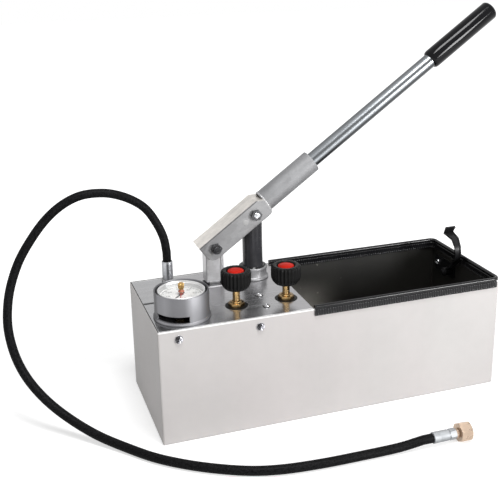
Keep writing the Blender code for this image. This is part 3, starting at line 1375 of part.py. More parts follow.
def make_gauge():
    """The gauge in its guard, with its pointer and the drag marker turned by a knob."""
    centre = (GAUGE_X, GAUGE_Y, 0)
    inside = GUARD_RADIUS - GUARD_WALL
    foot_top_z = PLATE_SEAT_Z + GUARD_FOOT_HEIGHT
    guard = turned(
        "gauge_guard",
        (
            (inside, GUARD_TOP_Z - GUARD_LIP),
            (inside + GUARD_LIP, GUARD_TOP_Z),
            (GUARD_RADIUS - GUARD_LIP, GUARD_TOP_Z),
            (GUARD_RADIUS, GUARD_TOP_Z - GUARD_LIP),
            (GUARD_RADIUS, foot_top_z + GUARD_LIP),
            (GUARD_FOOT_RADIUS, foot_top_z),
            (GUARD_FOOT_RADIUS, PLATE_SEAT_Z),
            (inside, PLATE_SEAT_Z),
        ),
        centre, facets=FINE_FACETS,
    )
    steps = SMALL_FACETS
    reach = 2 * GUARD_RADIUS
    wedge = [(0, 0)]
    for index in range(steps + 1):
        angle = GUARD_WINDOW_START + (GUARD_WINDOW_END - GUARD_WINDOW_START) * index / steps
        wedge.append((reach * math.cos(angle), reach * math.sin(angle)))
    window = plate(
        "guard_window", wedge, GUARD_WINDOW_HEIGHT,
        (GAUGE_X, GAUGE_Y, PLATE_SEAT_Z + GUARD_WINDOW_BOTTOM + GUARD_WINDOW_HEIGHT / 2),
    )
    boolean(guard, window)
    keep(guard, "gauge_guard", "sheet")

    floor_z = CASE_BOTTOM_Z + CASE_FLOOR
    ledge = CASE_RADIUS - CASE_WALL
    case = turned(
        "gauge_case",
        (
            (ledge - CASE_WALL, CASE_TOP_Z),
            (CASE_RADIUS, CASE_TOP_Z),
            (CASE_RADIUS, CASE_BOTTOM_Z + CASE_WALL),
            (CASE_RADIUS - CASE_WALL, CASE_BOTTOM_Z),
            (GAUGE_SOCKET_RADIUS + FIT, CASE_BOTTOM_Z),
            (GAUGE_SOCKET_RADIUS + FIT, floor_z),
            (ledge - CASE_WALL, floor_z),
        ),
        centre, facets=FINE_FACETS,
    )
    keep(case, "gauge_case", "black_steel")
    hex_half = (CASE_BOTTOM_Z - PLATE_SEAT_Z) / 2 - FIT
    socket = hexagon(
        "gauge_socket", GAUGE_SOCKET_HEX, 2 * hex_half,
        (GAUGE_X, GAUGE_Y, (CASE_BOTTOM_Z + PLATE_SEAT_Z) / 2),
    )
    socket_core = turned(
        "gauge_socket_core",
        (
            (0, floor_z),
            (GAUGE_SOCKET_RADIUS, floor_z),
            (GAUGE_SOCKET_RADIUS, GAUGE_SOCKET_BOTTOM_Z),
            (0, GAUGE_SOCKET_BOTTOM_Z),
        ),
        centre, facets=SMALL_FACETS,
    )
    boolean(socket, socket_core, "UNION")
    keep(socket, "gauge_socket", "brass")

    dial = turned(
        "gauge_dial",
        (
            (MARKER_SHAFT_RADIUS + FIT, DIAL_TOP_Z),
            (BEZEL_WINDOW_RADIUS + GUARD_LIP, DIAL_TOP_Z),
            (BEZEL_WINDOW_RADIUS + GUARD_LIP, CASE_TOP_Z + FIT),
            (MARKER_SHAFT_RADIUS + FIT, CASE_TOP_Z + FIT),
        ),
        centre, facets=FINE_FACETS,
    )
    keep(dial, "gauge_dial", "dial_white")
    bezel_inside = BEZEL_WINDOW_RADIUS + GUARD_LIP + FIT
    bezel = turned(
        "gauge_bezel",
        (
            (BEZEL_WINDOW_RADIUS, BEZEL_TOP_Z),
            (BEZEL_RADIUS - BEZEL_LIP, BEZEL_TOP_Z),
            (BEZEL_RADIUS, BEZEL_TOP_Z - BEZEL_LIP),
            (BEZEL_RADIUS, CASE_TOP_Z + FIT),
            (bezel_inside, CASE_TOP_Z + FIT),
            (bezel_inside, BEZEL_TOP_Z - BEZEL_LIP),
            (BEZEL_WINDOW_RADIUS, BEZEL_TOP_Z - BEZEL_LIP),
        ),
        centre, facets=FINE_FACETS,
    )
    keep(bezel, "gauge_bezel", "sheet")
    glass = turned(
        "gauge_glass",
        (
            (MARKER_SHAFT_RADIUS + FIT, GLASS_TOP_Z),
            (BEZEL_WINDOW_RADIUS + GUARD_LIP, GLASS_TOP_Z),
            (BEZEL_WINDOW_RADIUS + GUARD_LIP, GLASS_TOP_Z - GLASS_THICKNESS),
            (MARKER_SHAFT_RADIUS + FIT, GLASS_TOP_Z - GLASS_THICKNESS),
        ),
        centre, facets=FINE_FACETS,
    )
    keep(glass, "gauge_glass", "clear")

    pointer_axis = axis_empty("pointer_axis", (GAUGE_X, GAUGE_Y, POINTER_Z))
    pointer = plate(
        "gauge_pointer",
        pointer_outline(POINTER_LENGTH, POINTER_TAIL, POINTER_HALF_WIDTH, POINTER_HUB_RADIUS),
        POINTER_THICKNESS, (0, 0, 0), (0, 0, POINTER_REST),
    )
    keep(pointer, "gauge_pointer", "black_steel", pointer_axis)
    marker_axis = axis_empty("marker_axis", (GAUGE_X, GAUGE_Y, MARKER_Z))
    marker = plate(
        "drag_marker",
        pointer_outline(MARKER_LENGTH, 0, MARKER_HALF_WIDTH, POINTER_HUB_RADIUS),
        POINTER_THICKNESS, (0, 0, 0), (0, 0, MARKER_REST),
    )
    keep(marker, "drag_marker", "red_plastic", marker_axis)
    knob_bottom = GLASS_TOP_Z + FIT - MARKER_Z
    knob_top = knob_bottom + MARKER_KNOB_HEIGHT
    shaft_bottom = POINTER_THICKNESS / 2 + FIT
    knob = turned(
        "marker_knob",
        (
            (0, knob_top),
            (MARKER_KNOB_RADIUS - GUARD_LIP, knob_top),
            (MARKER_KNOB_RADIUS, knob_top - GUARD_LIP),
            (MARKER_KNOB_RADIUS, knob_bottom),
            (MARKER_SHAFT_RADIUS, knob_bottom),
            (MARKER_SHAFT_RADIUS, shaft_bottom),
            (0, shaft_bottom),
        ),
        facets=2 * MARKER_KNOB_FLUTES,
    )
    flutes = rod_ring(
        "marker_knob_flutes", MARKER_KNOB_FLUTES, MARKER_KNOB_RADIUS + MARKER_KNOB_FLUTE_RADIUS / 2,
        MARKER_KNOB_FLUTE_RADIUS, 2 * MARKER_KNOB_HEIGHT, (0, 0, knob_top), facets=6,
    )
    boolean(knob, flutes, "DIFFERENCE", marker_axis)
    keep(knob, "marker_knob", "brass", marker_axis)


def smooth_path(route, substeps=HOSE_SUBSTEPS):
    """Many points on a smooth curve through the route's points."""
    points = [Vector(point) for point in route]
    first = points[0] * 2 - points[1]
    last = points[-1] * 2 - points[-2]
    padded = [first, *points, last]
    path = []
    for index in range(1, len(padded) - 2):
        before, start, end, after = padded[index - 1:index + 3]
        for step in range(substeps):
            t = step / substeps
            path.append(
                (
                    start * 2
                    + (end - before) * t
                    + (before * 2 - start * 5 + end * 4 - after) * t ** 2
                    + (start * 3 - before - end * 3 + after) * t ** 3
                )
                / 2
            )
    path.append(points[-1])
    return path


def evenly(path, spacing):
    """Points of a path at even steps along it, both ends included."""
    lengths = [0.0]
    for start, end in zip(path, path[1:]):
        lengths.append(lengths[-1] + (end - start).length)
    count = round(lengths[-1] / spacing)
    even = []
    place = 0
    for index in range(count + 1):
        wanted = lengths[-1] * index / count
        while place < len(path) - 2 and lengths[place + 1] < wanted:
            place += 1
        share = (wanted - lengths[place]) / (lengths[place + 1] - lengths[place])
        even.append(path[place].lerp(path[place + 1], share))
    return even


def make_hose():
    """The outlet fitting, the hose with its ferrules and the union nut at its far end."""
    foot_z = PLATE_SEAT_Z
    hex_top_z = foot_z + OUTLET_HEX_HEIGHT
    fitting = hexagon(
        "hose_fitting", OUTLET_HEX, OUTLET_HEX_HEIGHT,
        (OUTLET_X, OUTLET_Y, foot_z + OUTLET_HEX_HEIGHT / 2),
    )
    core = turned(
        "fitting_core",
        (
            (0, OUTLET_NIPPLE_TOP_Z),
            (OUTLET_NIPPLE_RADIUS, OUTLET_NIPPLE_TOP_Z),
            (OUTLET_NIPPLE_RADIUS, foot_z + FIT),
            (OUTLET_STUB_RADIUS, foot_z + FIT),
            (OUTLET_STUB_RADIUS, OUTLET_STUB_BOTTOM_Z),
            (0, OUTLET_STUB_BOTTOM_Z),
        ),
        (OUTLET_X, OUTLET_Y, 0), facets=SMALL_FACETS,
    )
    boolean(fitting, core, "UNION")
    keep(fitting, "hose_fitting", "steel")
    sleeve_bottom_z = hex_top_z + FIT
    waist_z = sleeve_bottom_z + OUTLET_HEX_HEIGHT
    ferrule = turned(
        "hose_ferrule",
        (
            (0, FERRULE_TOP_Z),
            (FERRULE_RADIUS - FERRULE_GROOVE, FERRULE_TOP_Z),
            (FERRULE_RADIUS, FERRULE_TOP_Z - FERRULE_GROOVE),
            (FERRULE_RADIUS, waist_z + FERRULE_GROOVE),
            (FERRULE_RADIUS - 2 * FERRULE_GROOVE, waist_z - FERRULE_GROOVE),
            (FERRULE_RADIUS - 2 * FERRULE_GROOVE, sleeve_bottom_z),
            (OUTLET_NIPPLE_RADIUS + FIT, sleeve_bottom_z),
            (OUTLET_NIPPLE_RADIUS + FIT, FERRULE_TOP_Z - FERRULE_END_WALL),
            (0, FERRULE_TOP_Z - FERRULE_END_WALL),
        ),
        (OUTLET_X, OUTLET_Y, 0), facets=ROUND_FACETS,
    )
    keep(ferrule, "hose_ferrule", "steel")

    hose_start = (OUTLET_X, OUTLET_Y, FERRULE_TOP_Z + FIT)
    hose_end = (HOSE_END_X, HOSE_END_Y, UNION_AXIS_Z)
    lead_in = (OUTLET_X, OUTLET_Y, FERRULE_TOP_Z + FIT + HOSE_LEAD)
    lead_out = (HOSE_END_X - HOSE_LEAD, HOSE_END_Y, UNION_AXIS_Z)
    run = evenly(smooth_path((lead_in, *HOSE_ROUTE, lead_out)), HOSE_SPACING)
    path = (hose_start, *run, hose_end)
    curve = bpy.data.curves.new("hose", "CURVE")
    curve.dimensions = "3D"
    curve.bevel_depth = HOSE_RADIUS
    curve.bevel_resolution = 2
    curve.use_fill_caps = True
    spline = curve.splines.new("POLY")
    spline.points.add(len(path) - 1)
    for target, point in zip(spline.points, path):
        target.co = (*point, 1)
    hose = bpy.data.objects.new("hose", curve)
    PARTS.objects.link(hose)
    keep(realised(hose), "hose", "rubber")

    end = (0, HOSE_END_Y, UNION_AXIS_Z)
    start_x = HOSE_END_X + FIT
    end_ferrule = turned(
        "hose_end_ferrule",
        (
            (TAIL_NECK_RADIUS + FIT, END_FERRULE_END_X),
            (END_FERRULE_RADIUS - FERRULE_GROOVE, END_FERRULE_END_X),
            (END_FERRULE_RADIUS, END_FERRULE_END_X - FERRULE_GROOVE),
            (END_FERRULE_RADIUS, start_x + FERRULE_GROOVE),
            (END_FERRULE_RADIUS - FERRULE_GROOVE, start_x),
            (0, start_x),
            (0, END_FERRULE_END_X - TAIL_INSERT),
            (TAIL_NECK_RADIUS + FIT, END_FERRULE_END_X - TAIL_INSERT),
        ),
        end, ALONG_X, facets=ROUND_FACETS,
    )
    keep(end_ferrule, "hose_end_ferrule", "chrome")
    collar_x = END_FERRULE_END_X + FIT
    flange_x = UNION_START_X + UNION_BACK_WALL + FIT
    tail = turned(
        "hose_tail",
        (
            (TAIL_BORE_RADIUS, flange_x + TAIL_FLANGE_LENGTH),
            (TAIL_FLANGE_RADIUS, flange_x + TAIL_FLANGE_LENGTH),
            (TAIL_FLANGE_RADIUS, flange_x),
            (TAIL_NECK_RADIUS, flange_x),
            (TAIL_NECK_RADIUS, collar_x + TAIL_COLLAR_LENGTH),
            (TAIL_COLLAR_RADIUS, collar_x + TAIL_COLLAR_LENGTH),
            (TAIL_COLLAR_RADIUS, collar_x),
            (TAIL_NECK_RADIUS, collar_x),
            (TAIL_NECK_RADIUS, END_FERRULE_END_X - TAIL_INSERT + FIT),
            (TAIL_BORE_RADIUS, END_FERRULE_END_X - TAIL_INSERT + FIT),
        ),
        end, ALONG_X, facets=SMALL_FACETS,
    )
    keep(tail, "hose_tail", "brass")
    union_axis = axis_empty("union_axis", (UNION_START_X, HOSE_END_Y, UNION_AXIS_Z))
    nut = hexagon(
        "union_nut", UNION_ACROSS_FLATS, UNION_LENGTH, (UNION_LENGTH / 2, 0, 0), ALONG_X,
        turn=math.pi / 6,
    )
    bore = turned(
        "union_bore",
        (
            (0, UNION_LENGTH + FIT),
            (UNION_BORE_RADIUS, UNION_LENGTH + FIT),
            (UNION_BORE_RADIUS, UNION_BACK_WALL),
            (TAIL_NECK_RADIUS + FIT, UNION_BACK_WALL),
            (TAIL_NECK_RADIUS + FIT, -FIT),
            (0, -FIT),
        ),
        (0, 0, 0), ALONG_X, facets=ROUND_FACETS,
    )
    boolean(nut, bore, "DIFFERENCE", union_axis)
    keep(nut, "union_nut", "pale_brass", union_axis)


def make_hook():
    """The hook for the folded handle, on a pin through a bracket inside the right wall."""
    plate_outer_x = INNER_LENGTH_HALF - FIT
    trim_inner_x = INNER_LENGTH_HALF - FIT - TRIM_WALL
    hook_right_x = trim_inner_x - HOOK_TRIM_GAP
    hook_left_x = hook_right_x - HOOK_WIDTH
    corner = BRACKET_CORNER_RADIUS
    outline = rounded((
        (BRACKET_FRONT_Y, BRACKET_BOTTOM_Z, corner),
        (BRACKET_BACK_Y, BRACKET_BOTTOM_Z, corner),
        (BRACKET_BACK_Y, BRACKET_TOP_Z, corner),
        (BRACKET_FRONT_Y, BRACKET_TOP_Z, corner),
    ))
    hole = circle(HOOK_PIN_RADIUS + FIT, SMALL_FACETS, (HOOK_PIVOT_Y, HOOK_PIVOT_Z))
    bracket = plate(
        "hook_bracket", outline, BRACKET_PLATE,
        (plate_outer_x - BRACKET_PLATE / 2, 0, 0), FACE_RIGHT, holes=(hole,),
    )
    keep(bracket, "hook_bracket", "black_steel")
    pin_end_x = plate_outer_x
    head_x = hook_left_x - FIT
    pin = turned(
        "hook_pin",
        (
            (0, pin_end_x),
            (HOOK_PIN_RADIUS, pin_end_x),
            (HOOK_PIN_RADIUS, head_x),
            (HOOK_PIN_HEAD_RADIUS, head_x),
            (HOOK_PIN_HEAD_RADIUS, head_x - HOOK_PIN_HEAD / 2),
            (HOOK_PIN_HEAD_RADIUS / 2, head_x - HOOK_PIN_HEAD),
            (0, head_x - HOOK_PIN_HEAD),
        ),
        (0, HOOK_PIVOT_Y, HOOK_PIVOT_Z), ALONG_X, facets=SMALL_FACETS,
    )
    keep(pin, "hook_pin", "steel")

    middle_x = (hook_left_x + hook_right_x) / 2
    axis = axis_empty("hook_axis", (middle_x, HOOK_PIVOT_Y, HOOK_PIVOT_Z))
    curve = bpy.data.curves.new("latch_hook", "CURVE")
    curve.dimensions = "3D"
    curve.extrude = HOOK_WIDTH / 2
    spline = curve.splines.new("POLY")
    spline.points.add(len(HOOK_PATH_SHARES) - 1)
    for target, (y_share, z_share) in zip(spline.points, HOOK_PATH_SHARES):
        target.co = (y_share * HOOK_LEAN, z_share * HOOK_HEIGHT, 0, 1)
    strip = bpy.data.objects.new("latch_hook", curve)
    PARTS.objects.link(strip)
    strip.rotation_euler = FACE_RIGHT
    hook = realised(strip)
    bend = hook.modifiers.new("Strip", "SOLIDIFY")
    bend.thickness = HOOK_PLATE
    bend.offset = 0
    bend.use_even_offset = True
    eye = rod(
        "hook_eye", HOOK_EYE_RADIUS, HOOK_WIDTH + 2 * WELD, (0, 0, 0), ALONG_X, SMALL_FACETS
    )
    boolean(hook, eye, "UNION", axis)
    pin_hole = rod(
        "hook_pin_hole", HOOK_PIN_RADIUS + FIT, 2 * HOOK_WIDTH, (0, 0, 0), ALONG_X, SMALL_FACETS
    )
    boolean(hook, pin_hole, "DIFFERENCE", axis)
    keep(hook, "latch_hook", "black_steel", axis)


make_tank()
make_rim_trim()
make_cover()
make_pump_body()
make_cylinder()
make_gland()
make_piston()
make_lever()
make_post()
make_valve("release", RELEASE_VALVE_X, RELEASE_VALVE_LIFT)
make_valve("pressure", PRESSURE_VALVE_X, 0)
make_gauge()
make_hose()
make_hook()
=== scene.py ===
"""Looks of the hydrostatic test pump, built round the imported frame.

Pieces are modelled in millimetres, and piece() turns them into the frame's metres. The camera,
the materials, the hose and the folded sheets are in metres.
"""

import json
from math import cos, pi, radians, sin, sqrt, tau

import bmesh
import bpy
from mathutils import Matrix, Vector


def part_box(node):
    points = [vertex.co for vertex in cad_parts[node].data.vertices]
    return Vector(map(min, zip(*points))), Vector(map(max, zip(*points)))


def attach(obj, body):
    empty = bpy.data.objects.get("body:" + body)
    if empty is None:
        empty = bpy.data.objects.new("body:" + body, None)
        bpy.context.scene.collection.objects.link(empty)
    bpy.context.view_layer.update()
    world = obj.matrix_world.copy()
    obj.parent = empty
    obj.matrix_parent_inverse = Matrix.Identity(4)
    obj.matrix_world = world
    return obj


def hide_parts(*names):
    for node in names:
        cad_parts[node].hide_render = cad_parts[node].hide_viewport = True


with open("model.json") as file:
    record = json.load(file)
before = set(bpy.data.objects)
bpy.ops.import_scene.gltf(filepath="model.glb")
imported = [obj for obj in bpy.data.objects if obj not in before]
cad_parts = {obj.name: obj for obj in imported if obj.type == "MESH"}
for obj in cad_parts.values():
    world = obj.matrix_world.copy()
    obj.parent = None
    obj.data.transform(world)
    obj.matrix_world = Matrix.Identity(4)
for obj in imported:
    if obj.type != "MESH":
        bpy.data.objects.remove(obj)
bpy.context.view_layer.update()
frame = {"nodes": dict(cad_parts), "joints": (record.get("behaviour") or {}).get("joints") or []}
NODES = frame["nodes"]
SCENE = bpy.context.scene
MM = 0.001


# Camera
def make_camera():
    """The photograph's view: 500 x 477, from front left and a little above."""
    azimuth, elevation, roll = radians(-17.9748), radians(17.3108), radians(-1.1378)
    back = Vector((sin(azimuth) * cos(elevation), -cos(azimuth) * cos(elevation), sin(elevation)))
    right = (-back).cross(Vector((0, 0, 1))).normalized()
    up = right.cross(-back)
    turned_right = right * cos(roll) + up * sin(roll)
    turned_up = up * cos(roll) - right * sin(roll)
    place = Matrix((turned_right, turned_up, back)).transposed().to_4x4()
    place.translation = (-0.40913, -0.98931, 0.58317)
    data = bpy.data.cameras.new("photo_camera")
    data.sensor_fit = "HORIZONTAL"
    data.sensor_width = 36
    data.lens = 62.16
    data.shift_x = 0.0032
    data.shift_y = -0.0567
    data.clip_start = 0.01
    data.clip_end = 60
    camera = bpy.data.objects.new("photo_camera", data)
    SCENE.collection.objects.link(camera)
    camera.matrix_world = place
    SCENE.camera = camera


# Places taken from the frame, in millimetres
def box_mm(name):
    """A node's lowest and highest corners."""
    low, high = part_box(name)
    return low / MM, high / MM


def stand(name):
    """The middle of a node's box in plan, then its lowest and highest level."""
    low, high = box_mm(name)
    return (low.x + high.x) / 2, (low.y + high.y) / 2, low.z, high.z


def reach_of(name, direction):
    """How far a node reaches from the pivot in a direction, least and most."""
    reaches = [(vertex.co / MM - PIVOT).dot(direction) for vertex in NODES[name].data.vertices]
    return min(reaches), max(reaches)


RISE = radians(35.5)
LEVER_WAY = Vector((cos(RISE), 0, sin(RISE)))
LEVER_UP = Vector((-sin(RISE), 0, cos(RISE)))
PIVOT = Vector(next(joint["pos_m"] for joint in frame["joints"] if joint["name"] == "lever_swing")) / MM
TANK_FAR = box_mm("tank")[1]
PLATE_LOW, PLATE_HIGH = box_mm("top_cover")
PLATE_TOP = PLATE_HIGH.z
RIM_GAP = 0.3
GAUGE = stand("gauge_guard")[:2]
ALONG_X = (1, 0, 0)

# The hose's two ends, in metres
HOSE_START = Vector((-0.1823, 0.063, 0.1816))
HOSE_END = Vector((0.0740, -0.1955, 0.0110))


# Shader wiring
def rgba(value):
    """A plain colour with its alpha. A socket stays as it is."""
    return value if isinstance(value, bpy.types.NodeSocket) else (*value, 1)


class Wiring:
    """Shorthand for adding and linking shader nodes."""

    def __init__(self, tree):
        self.tree = tree
        tree.nodes.clear()

    def put(self, value, target):
        """Link a socket, or set a plain value."""
        if isinstance(value, bpy.types.NodeSocket):
            self.tree.links.new(value, target)
        else:
            target.default_value = value

    def feed(self, kind, inputs, output=0, **settings):
        """Add a node with these settings and inputs, and give back one of its outputs."""
        node = self.tree.nodes.new(kind)
        for name, value in settings.items():
            setattr(node, name, value)
        for place, value in inputs.items():
            self.put(value, node.inputs[place])
        return node.outputs[output]

    def show(self, kind, shader):
        """Send a shader to the tree's output."""
        self.put(shader, self.tree.nodes.new(kind).inputs[0])

    def calc(self, operation, first, second=0.0):
        return self.feed("ShaderNodeMath", {0: first, 1: second}, operation=operation)

    def product(self, first, *others):
        """Numbers multiplied together."""
        for other in others:
            first = self.calc("MULTIPLY", first, other)
        return first

    def spread(self, value, low, high, source=(0.3, 0.7)):
        """A value spread from its source range to between two numbers."""
        ends = {"From Min": source[0], "From Max": source[1], "To Min": low, "To Max": high}
        return self.feed("ShaderNodeMapRange", {"Value": value, **ends})

    def seen_by(self, first, *others):
        """1 for a ray of any of these kinds."""
        path = self.tree.nodes.new("ShaderNodeLightPath").outputs
        seen = path[first]
        for other in others:
            seen = self.calc("MAXIMUM", seen, path[other])
        return seen


class Paint(Wiring):
    """Wires one material of the object. Coordinates are the frame's own metres."""

    def __init__(self, name):
        self.material = bpy.data.materials.new(name)
        self.material.use_nodes = True
        super().__init__(self.material.node_tree)
        self.shader = self.tree.nodes.new("ShaderNodeBsdfPrincipled")
        self.show("ShaderNodeOutputMaterial", self.shader.outputs[0])
        self.coords = self.feed("ShaderNodeTexCoord", {}, "Object")

    def placed(self, origin=(0, 0, 0), tilt=0.0, stretch=(1, 1, 1)):
        """Coordinates about origin, turned by tilt about Y, then stretched."""
        moved = self.feed("ShaderNodeVectorMath", {0: self.coords, 1: origin}, operation="SUBTRACT")
        turned = self.feed("ShaderNodeVectorRotate", {"Vector": moved, "Angle": tilt}, rotation_type="Y_AXIS")
        return self.feed("ShaderNodeVectorMath", {0: turned, 1: stretch}, operation="MULTIPLY")

    def axes(self, vector=None):
        """The three parts of a vector, or of the coordinates."""
        source = self.coords if vector is None else vector
        return self.feed("ShaderNodeSeparateXYZ", {0: source}).node.outputs

    def noise(self, scale, detail=3.0, rough=0.5, coords=None):
        source = self.coords if coords is None else coords
        inputs = {"Vector": source, "Scale": scale, "Detail": detail, "Roughness": rough}
        return self.feed("ShaderNodeTexNoise", inputs, "Fac")

    def cells(self, scale, coords):
        """A random value for each cell."""
        colour = self.feed("ShaderNodeTexVoronoi", {"Vector": coords, "Scale": scale}, "Color")
        return self.feed("ShaderNodeSeparateColor", {0: colour})

    def within(self, value, half):
        """1 where a value lies less than half to either side of zero."""
        return self.calc("LESS_THAN", self.calc("ABSOLUTE", value), half)

    def past(self, value, limit):
        """1 where a value is more than a limit."""
        return self.calc("GREATER_THAN", value, limit)

    def ramp(self, value, *stops):
        """Colour stops or grey stops, given as (place, shade)."""
        colour = self.feed("ShaderNodeValToRGB", {0: value})
        elements = colour.node.color_ramp.elements
        while len(elements) < len(stops):
            elements.new(0.5)
        for element, (place, shade) in zip(elements, stops):
            element.position = place
            element.color = rgba(shade if hasattr(shade, "__len__") else (shade,) * 3)
        return colour

    def blend(self, factor, first, second, kind="MIX"):
        inputs = {0: factor, 6: rgba(first), 7: rgba(second)}
        return self.feed("ShaderNodeMix", inputs, 2, data_type="RGBA", blend_type=kind)

    def shaded(self, colour, *factors):
        """A colour multiplied by plain numbers."""
        for factor in factors:
            grey = self.feed("ShaderNodeCombineColor", {0: factor, 1: factor, 2: factor})
            colour = self.blend(1.0, colour, grey, "MULTIPLY")
        return colour

    def bump(self, *layers):
        """Bump layers, given as (height, depth in metres)."""
        inputs = {"Strength": 1.0}
        for height, depth in layers:
            inputs.update({"Distance": depth, "Height": height})
            inputs["Normal"] = self.feed("ShaderNodeBump", inputs)
        self.put(inputs["Normal"], self.shader.inputs["Normal"])

    def finish(self, colour, roughness, metallic=0.0, **extra):
        """Set the shader's own inputs, and give back the material."""
        looks = {"Base Color": rgba(colour), "Roughness": roughness, "Metallic": metallic, **extra}
        for name, value in looks.items():
            self.put(value, self.shader.inputs[name])
        return self.material


# Kinds of material
WARM, COOL = (1.03, 0.985, 0.985), (0.98, 1.01, 0.99)
LIME_FLECK = (0.3, 0.28, 0.25)
# Painted highlight on the long sheet folds
FOLD_HIGHLIGHT = (0.95, 0.95, 0.95)
# Painted shade in the channel's folds beside its web
FOLD_SHADE = (0.09, 0.09, 0.095)


def sheet_metal(name, colour, roughness, metallic, grain, streak, inner=None, fold_highlight=None):
    """Rolled sheet with a fine grain, faint warm and cool clouds and shallow dents.

    inner is (half x, half y, floor, colour, pale colour): the inside of the open box is
    painted near black as shade, and a painted reflection makes it paler low down towards the pump. The last
    argument is (half y, height): the long folds past it carry a painted highlight.
    """
    paint = Paint(name)
    fine = paint.noise(1.0, 2.0, 0.6, paint.placed(stretch=grain))
    clouds = paint.noise(9.0)
    spots = paint.noise(70.0, 4.0, 0.65)
    tints = paint.noise(4.5, 2.0, 0.5, paint.placed((0.3, 0.1, 0.2), 0.0, (1, 1, 0.4)))
    warm, cool = (tuple(part * tint for part, tint in zip(colour, cast)) for cast in (WARM, COOL))
    tone = paint.product(paint.spread(fine, 1 - streak, 1 + streak), paint.spread(clouds, 0.965, 1.03),
                         paint.spread(spots, 0.985, 1.012))
    body = paint.shaded(paint.blend(0.5, colour, paint.ramp(tints, (0.35, warm), (0.65, cool))), tone)
    rough = paint.calc("ADD", paint.spread(fine, -0.04, 0.05),
                       paint.spread(clouds, roughness - 0.04, roughness + 0.05))
    if inner:
        half_x, half_y, floor, shade_colour, reflection_colour = inner
        x, y, z = paint.axes()
        # The inside of the open box is painted near black as shade.
        inside = paint.product(paint.within(x, half_x), paint.within(y, half_y), paint.past(z, floor))
        stain = paint.noise(16.0, 4.0, 0.6)
        flecks = paint.noise(150.0, 2.0)
        near_pump = paint.spread(x, 1.0, 0.0, (0.0, 0.09))
        low_down = paint.spread(z, 1.0, 0.0, (0.075, 0.125))
        # A painted reflection makes the inside paler low down towards the pump.
        reflection_mask = paint.calc("POWER", paint.product(near_pump, low_down), 2.0)
        dark = paint.shaded(paint.blend(reflection_mask, shade_colour, reflection_colour), paint.spread(stain, 0.7, 1.5))
        flecked = paint.product(near_pump, paint.spread(flecks, 0.0, 1.0, (0.70, 0.74)))
        body = paint.blend(inside, body, paint.blend(flecked, dark, LIME_FLECK))
        outside = paint.calc("SUBTRACT", 1.0, inside)
        rough = paint.calc("ADD", paint.product(rough, outside), paint.product(inside, 0.5))
        metallic = paint.product(outside, metallic)
    # The long folds carry a painted highlight, broken up by noise.
    if fold_highlight:
        half_y, height = fold_highlight
        _, y, z = paint.axes()
        fold = paint.product(paint.past(paint.calc("ABSOLUTE", y), half_y), paint.past(z, height))
        highlight_and_wear = paint.noise(55.0, 3.0, 0.6)
        body = paint.blend(paint.product(fold, paint.spread(highlight_and_wear, 0.6, 1.0)), body, FOLD_HIGHLIGHT)
    paint.bump((clouds, 0.0006), (fine, 0.00002))
    return paint.finish(body, rough, metallic)


def galvanised(name, colour, roughness, metallic, tilt=0.0, scale=150.0, web=None):
    """Zinc with small soft spangles and dull patches.

    The last argument is (half width, crest, colour): the channel's web, up to its crest, carries a painted
    highlight, brighter than its sides and brightest towards the pivot, and the folds beside it carry painted
    shade.
    """
    paint = Paint(name)
    spangle = paint.cells(scale, paint.placed(tilt=tilt, stretch=(0.45, 1, 1)))
    patches = paint.noise(34.0, 4.0, 0.6)
    fine = paint.noise(420.0, 3.0, 0.6)
    tone = paint.product(paint.spread(spangle, 0.93, 1.05, (0, 1)), paint.spread(patches, 0.84, 1.1),
                         paint.spread(fine, 0.95, 1.04))
    rough = paint.calc("ADD", paint.spread(patches, roughness - 0.07, roughness + 0.08),
                       paint.spread(spangle, -0.04, 0.04, (0, 1)))
    if web:
        half, crest, highlight_and_wear = web
        along, across, up = paint.axes(paint.placed(PIVOT * MM, tilt))
        brushed = paint.noise(1.0, 3.0, 0.6, paint.placed(PIVOT * MM, tilt, (14, 600, 14)))
        # The web carries a painted highlight over a brushed grain, dimming away from the pivot.
        streaked = paint.shaded(highlight_and_wear, paint.spread(brushed, 0.86, 1.1),
                                paint.spread(along, 1.0, 0.72, (0.0, 0.09)))
        colour = paint.blend(paint.within(across, half), colour, streaked)
        # The folds beside the web carry painted shade.
        beside = paint.past(paint.calc("ABSOLUTE", across), half - 0.5 * MM)
        bend = paint.product(beside, paint.past(up, crest - 1.6 * MM))
        colour = paint.blend(paint.product(bend, 0.75), colour, FOLD_SHADE)
    paint.bump((patches, 0.0003), (fine, 0.00005))
    return paint.finish(paint.shaded(colour, tone), rough, metallic)


def cast_metal(name, colour, roughness, metallic):
    """A sand-cast skin."""
    paint = Paint(name)
    sand = paint.noise(900.0, 3.0, 0.6)
    lumps = paint.noise(90.0, 3.0, 0.55)
    tone = paint.product(paint.spread(sand, 0.86, 1.08), paint.spread(lumps, 0.88, 1.08))
    paint.bump((lumps, 0.0002), (sand, 0.00008))
    return paint.finish(paint.shaded(colour, tone), paint.spread(sand, roughness - 0.06, roughness + 0.08),
                        metallic)


def machined(name, colour, roughness, metallic=1.0):
    """Turned or drawn metal with very fine parallel marks."""
    paint = Paint(name)
    marks = paint.noise(1.0, 2.0, 0.6, paint.placed(stretch=(1, 1, 900)))
    haze = paint.noise(60.0)
    tone = paint.product(paint.spread(marks, 0.93, 1.05), paint.spread(haze, 0.93, 1.05))
    rough = paint.calc("ADD", paint.spread(marks, -0.03, 0.05),
                       paint.spread(haze, roughness - 0.03, roughness + 0.05))
    paint.bump((marks, 0.00002))
    return paint.finish(paint.shaded(colour, tone), rough, metallic)


def moulded(name, colour, roughness, grain=1400.0, depth=0.00003, gloss=0.25, mottle=(0.9, 1.12)):
    """Rubber or plastic with a fine grain and slight bloom."""
    paint = Paint(name)
    fine = paint.noise(grain, 2.0)
    bloom = paint.noise(45.0, 4.0, 0.6)
    tone = paint.product(paint.spread(fine, *mottle), paint.spread(bloom, 0.82, 1.2))
    paint.bump((fine, depth))
    return paint.finish(paint.shaded(colour, tone), paint.spread(bloom, roughness - 0.04, roughness + 0.05),
                        **{"Specular IOR Level": gloss})


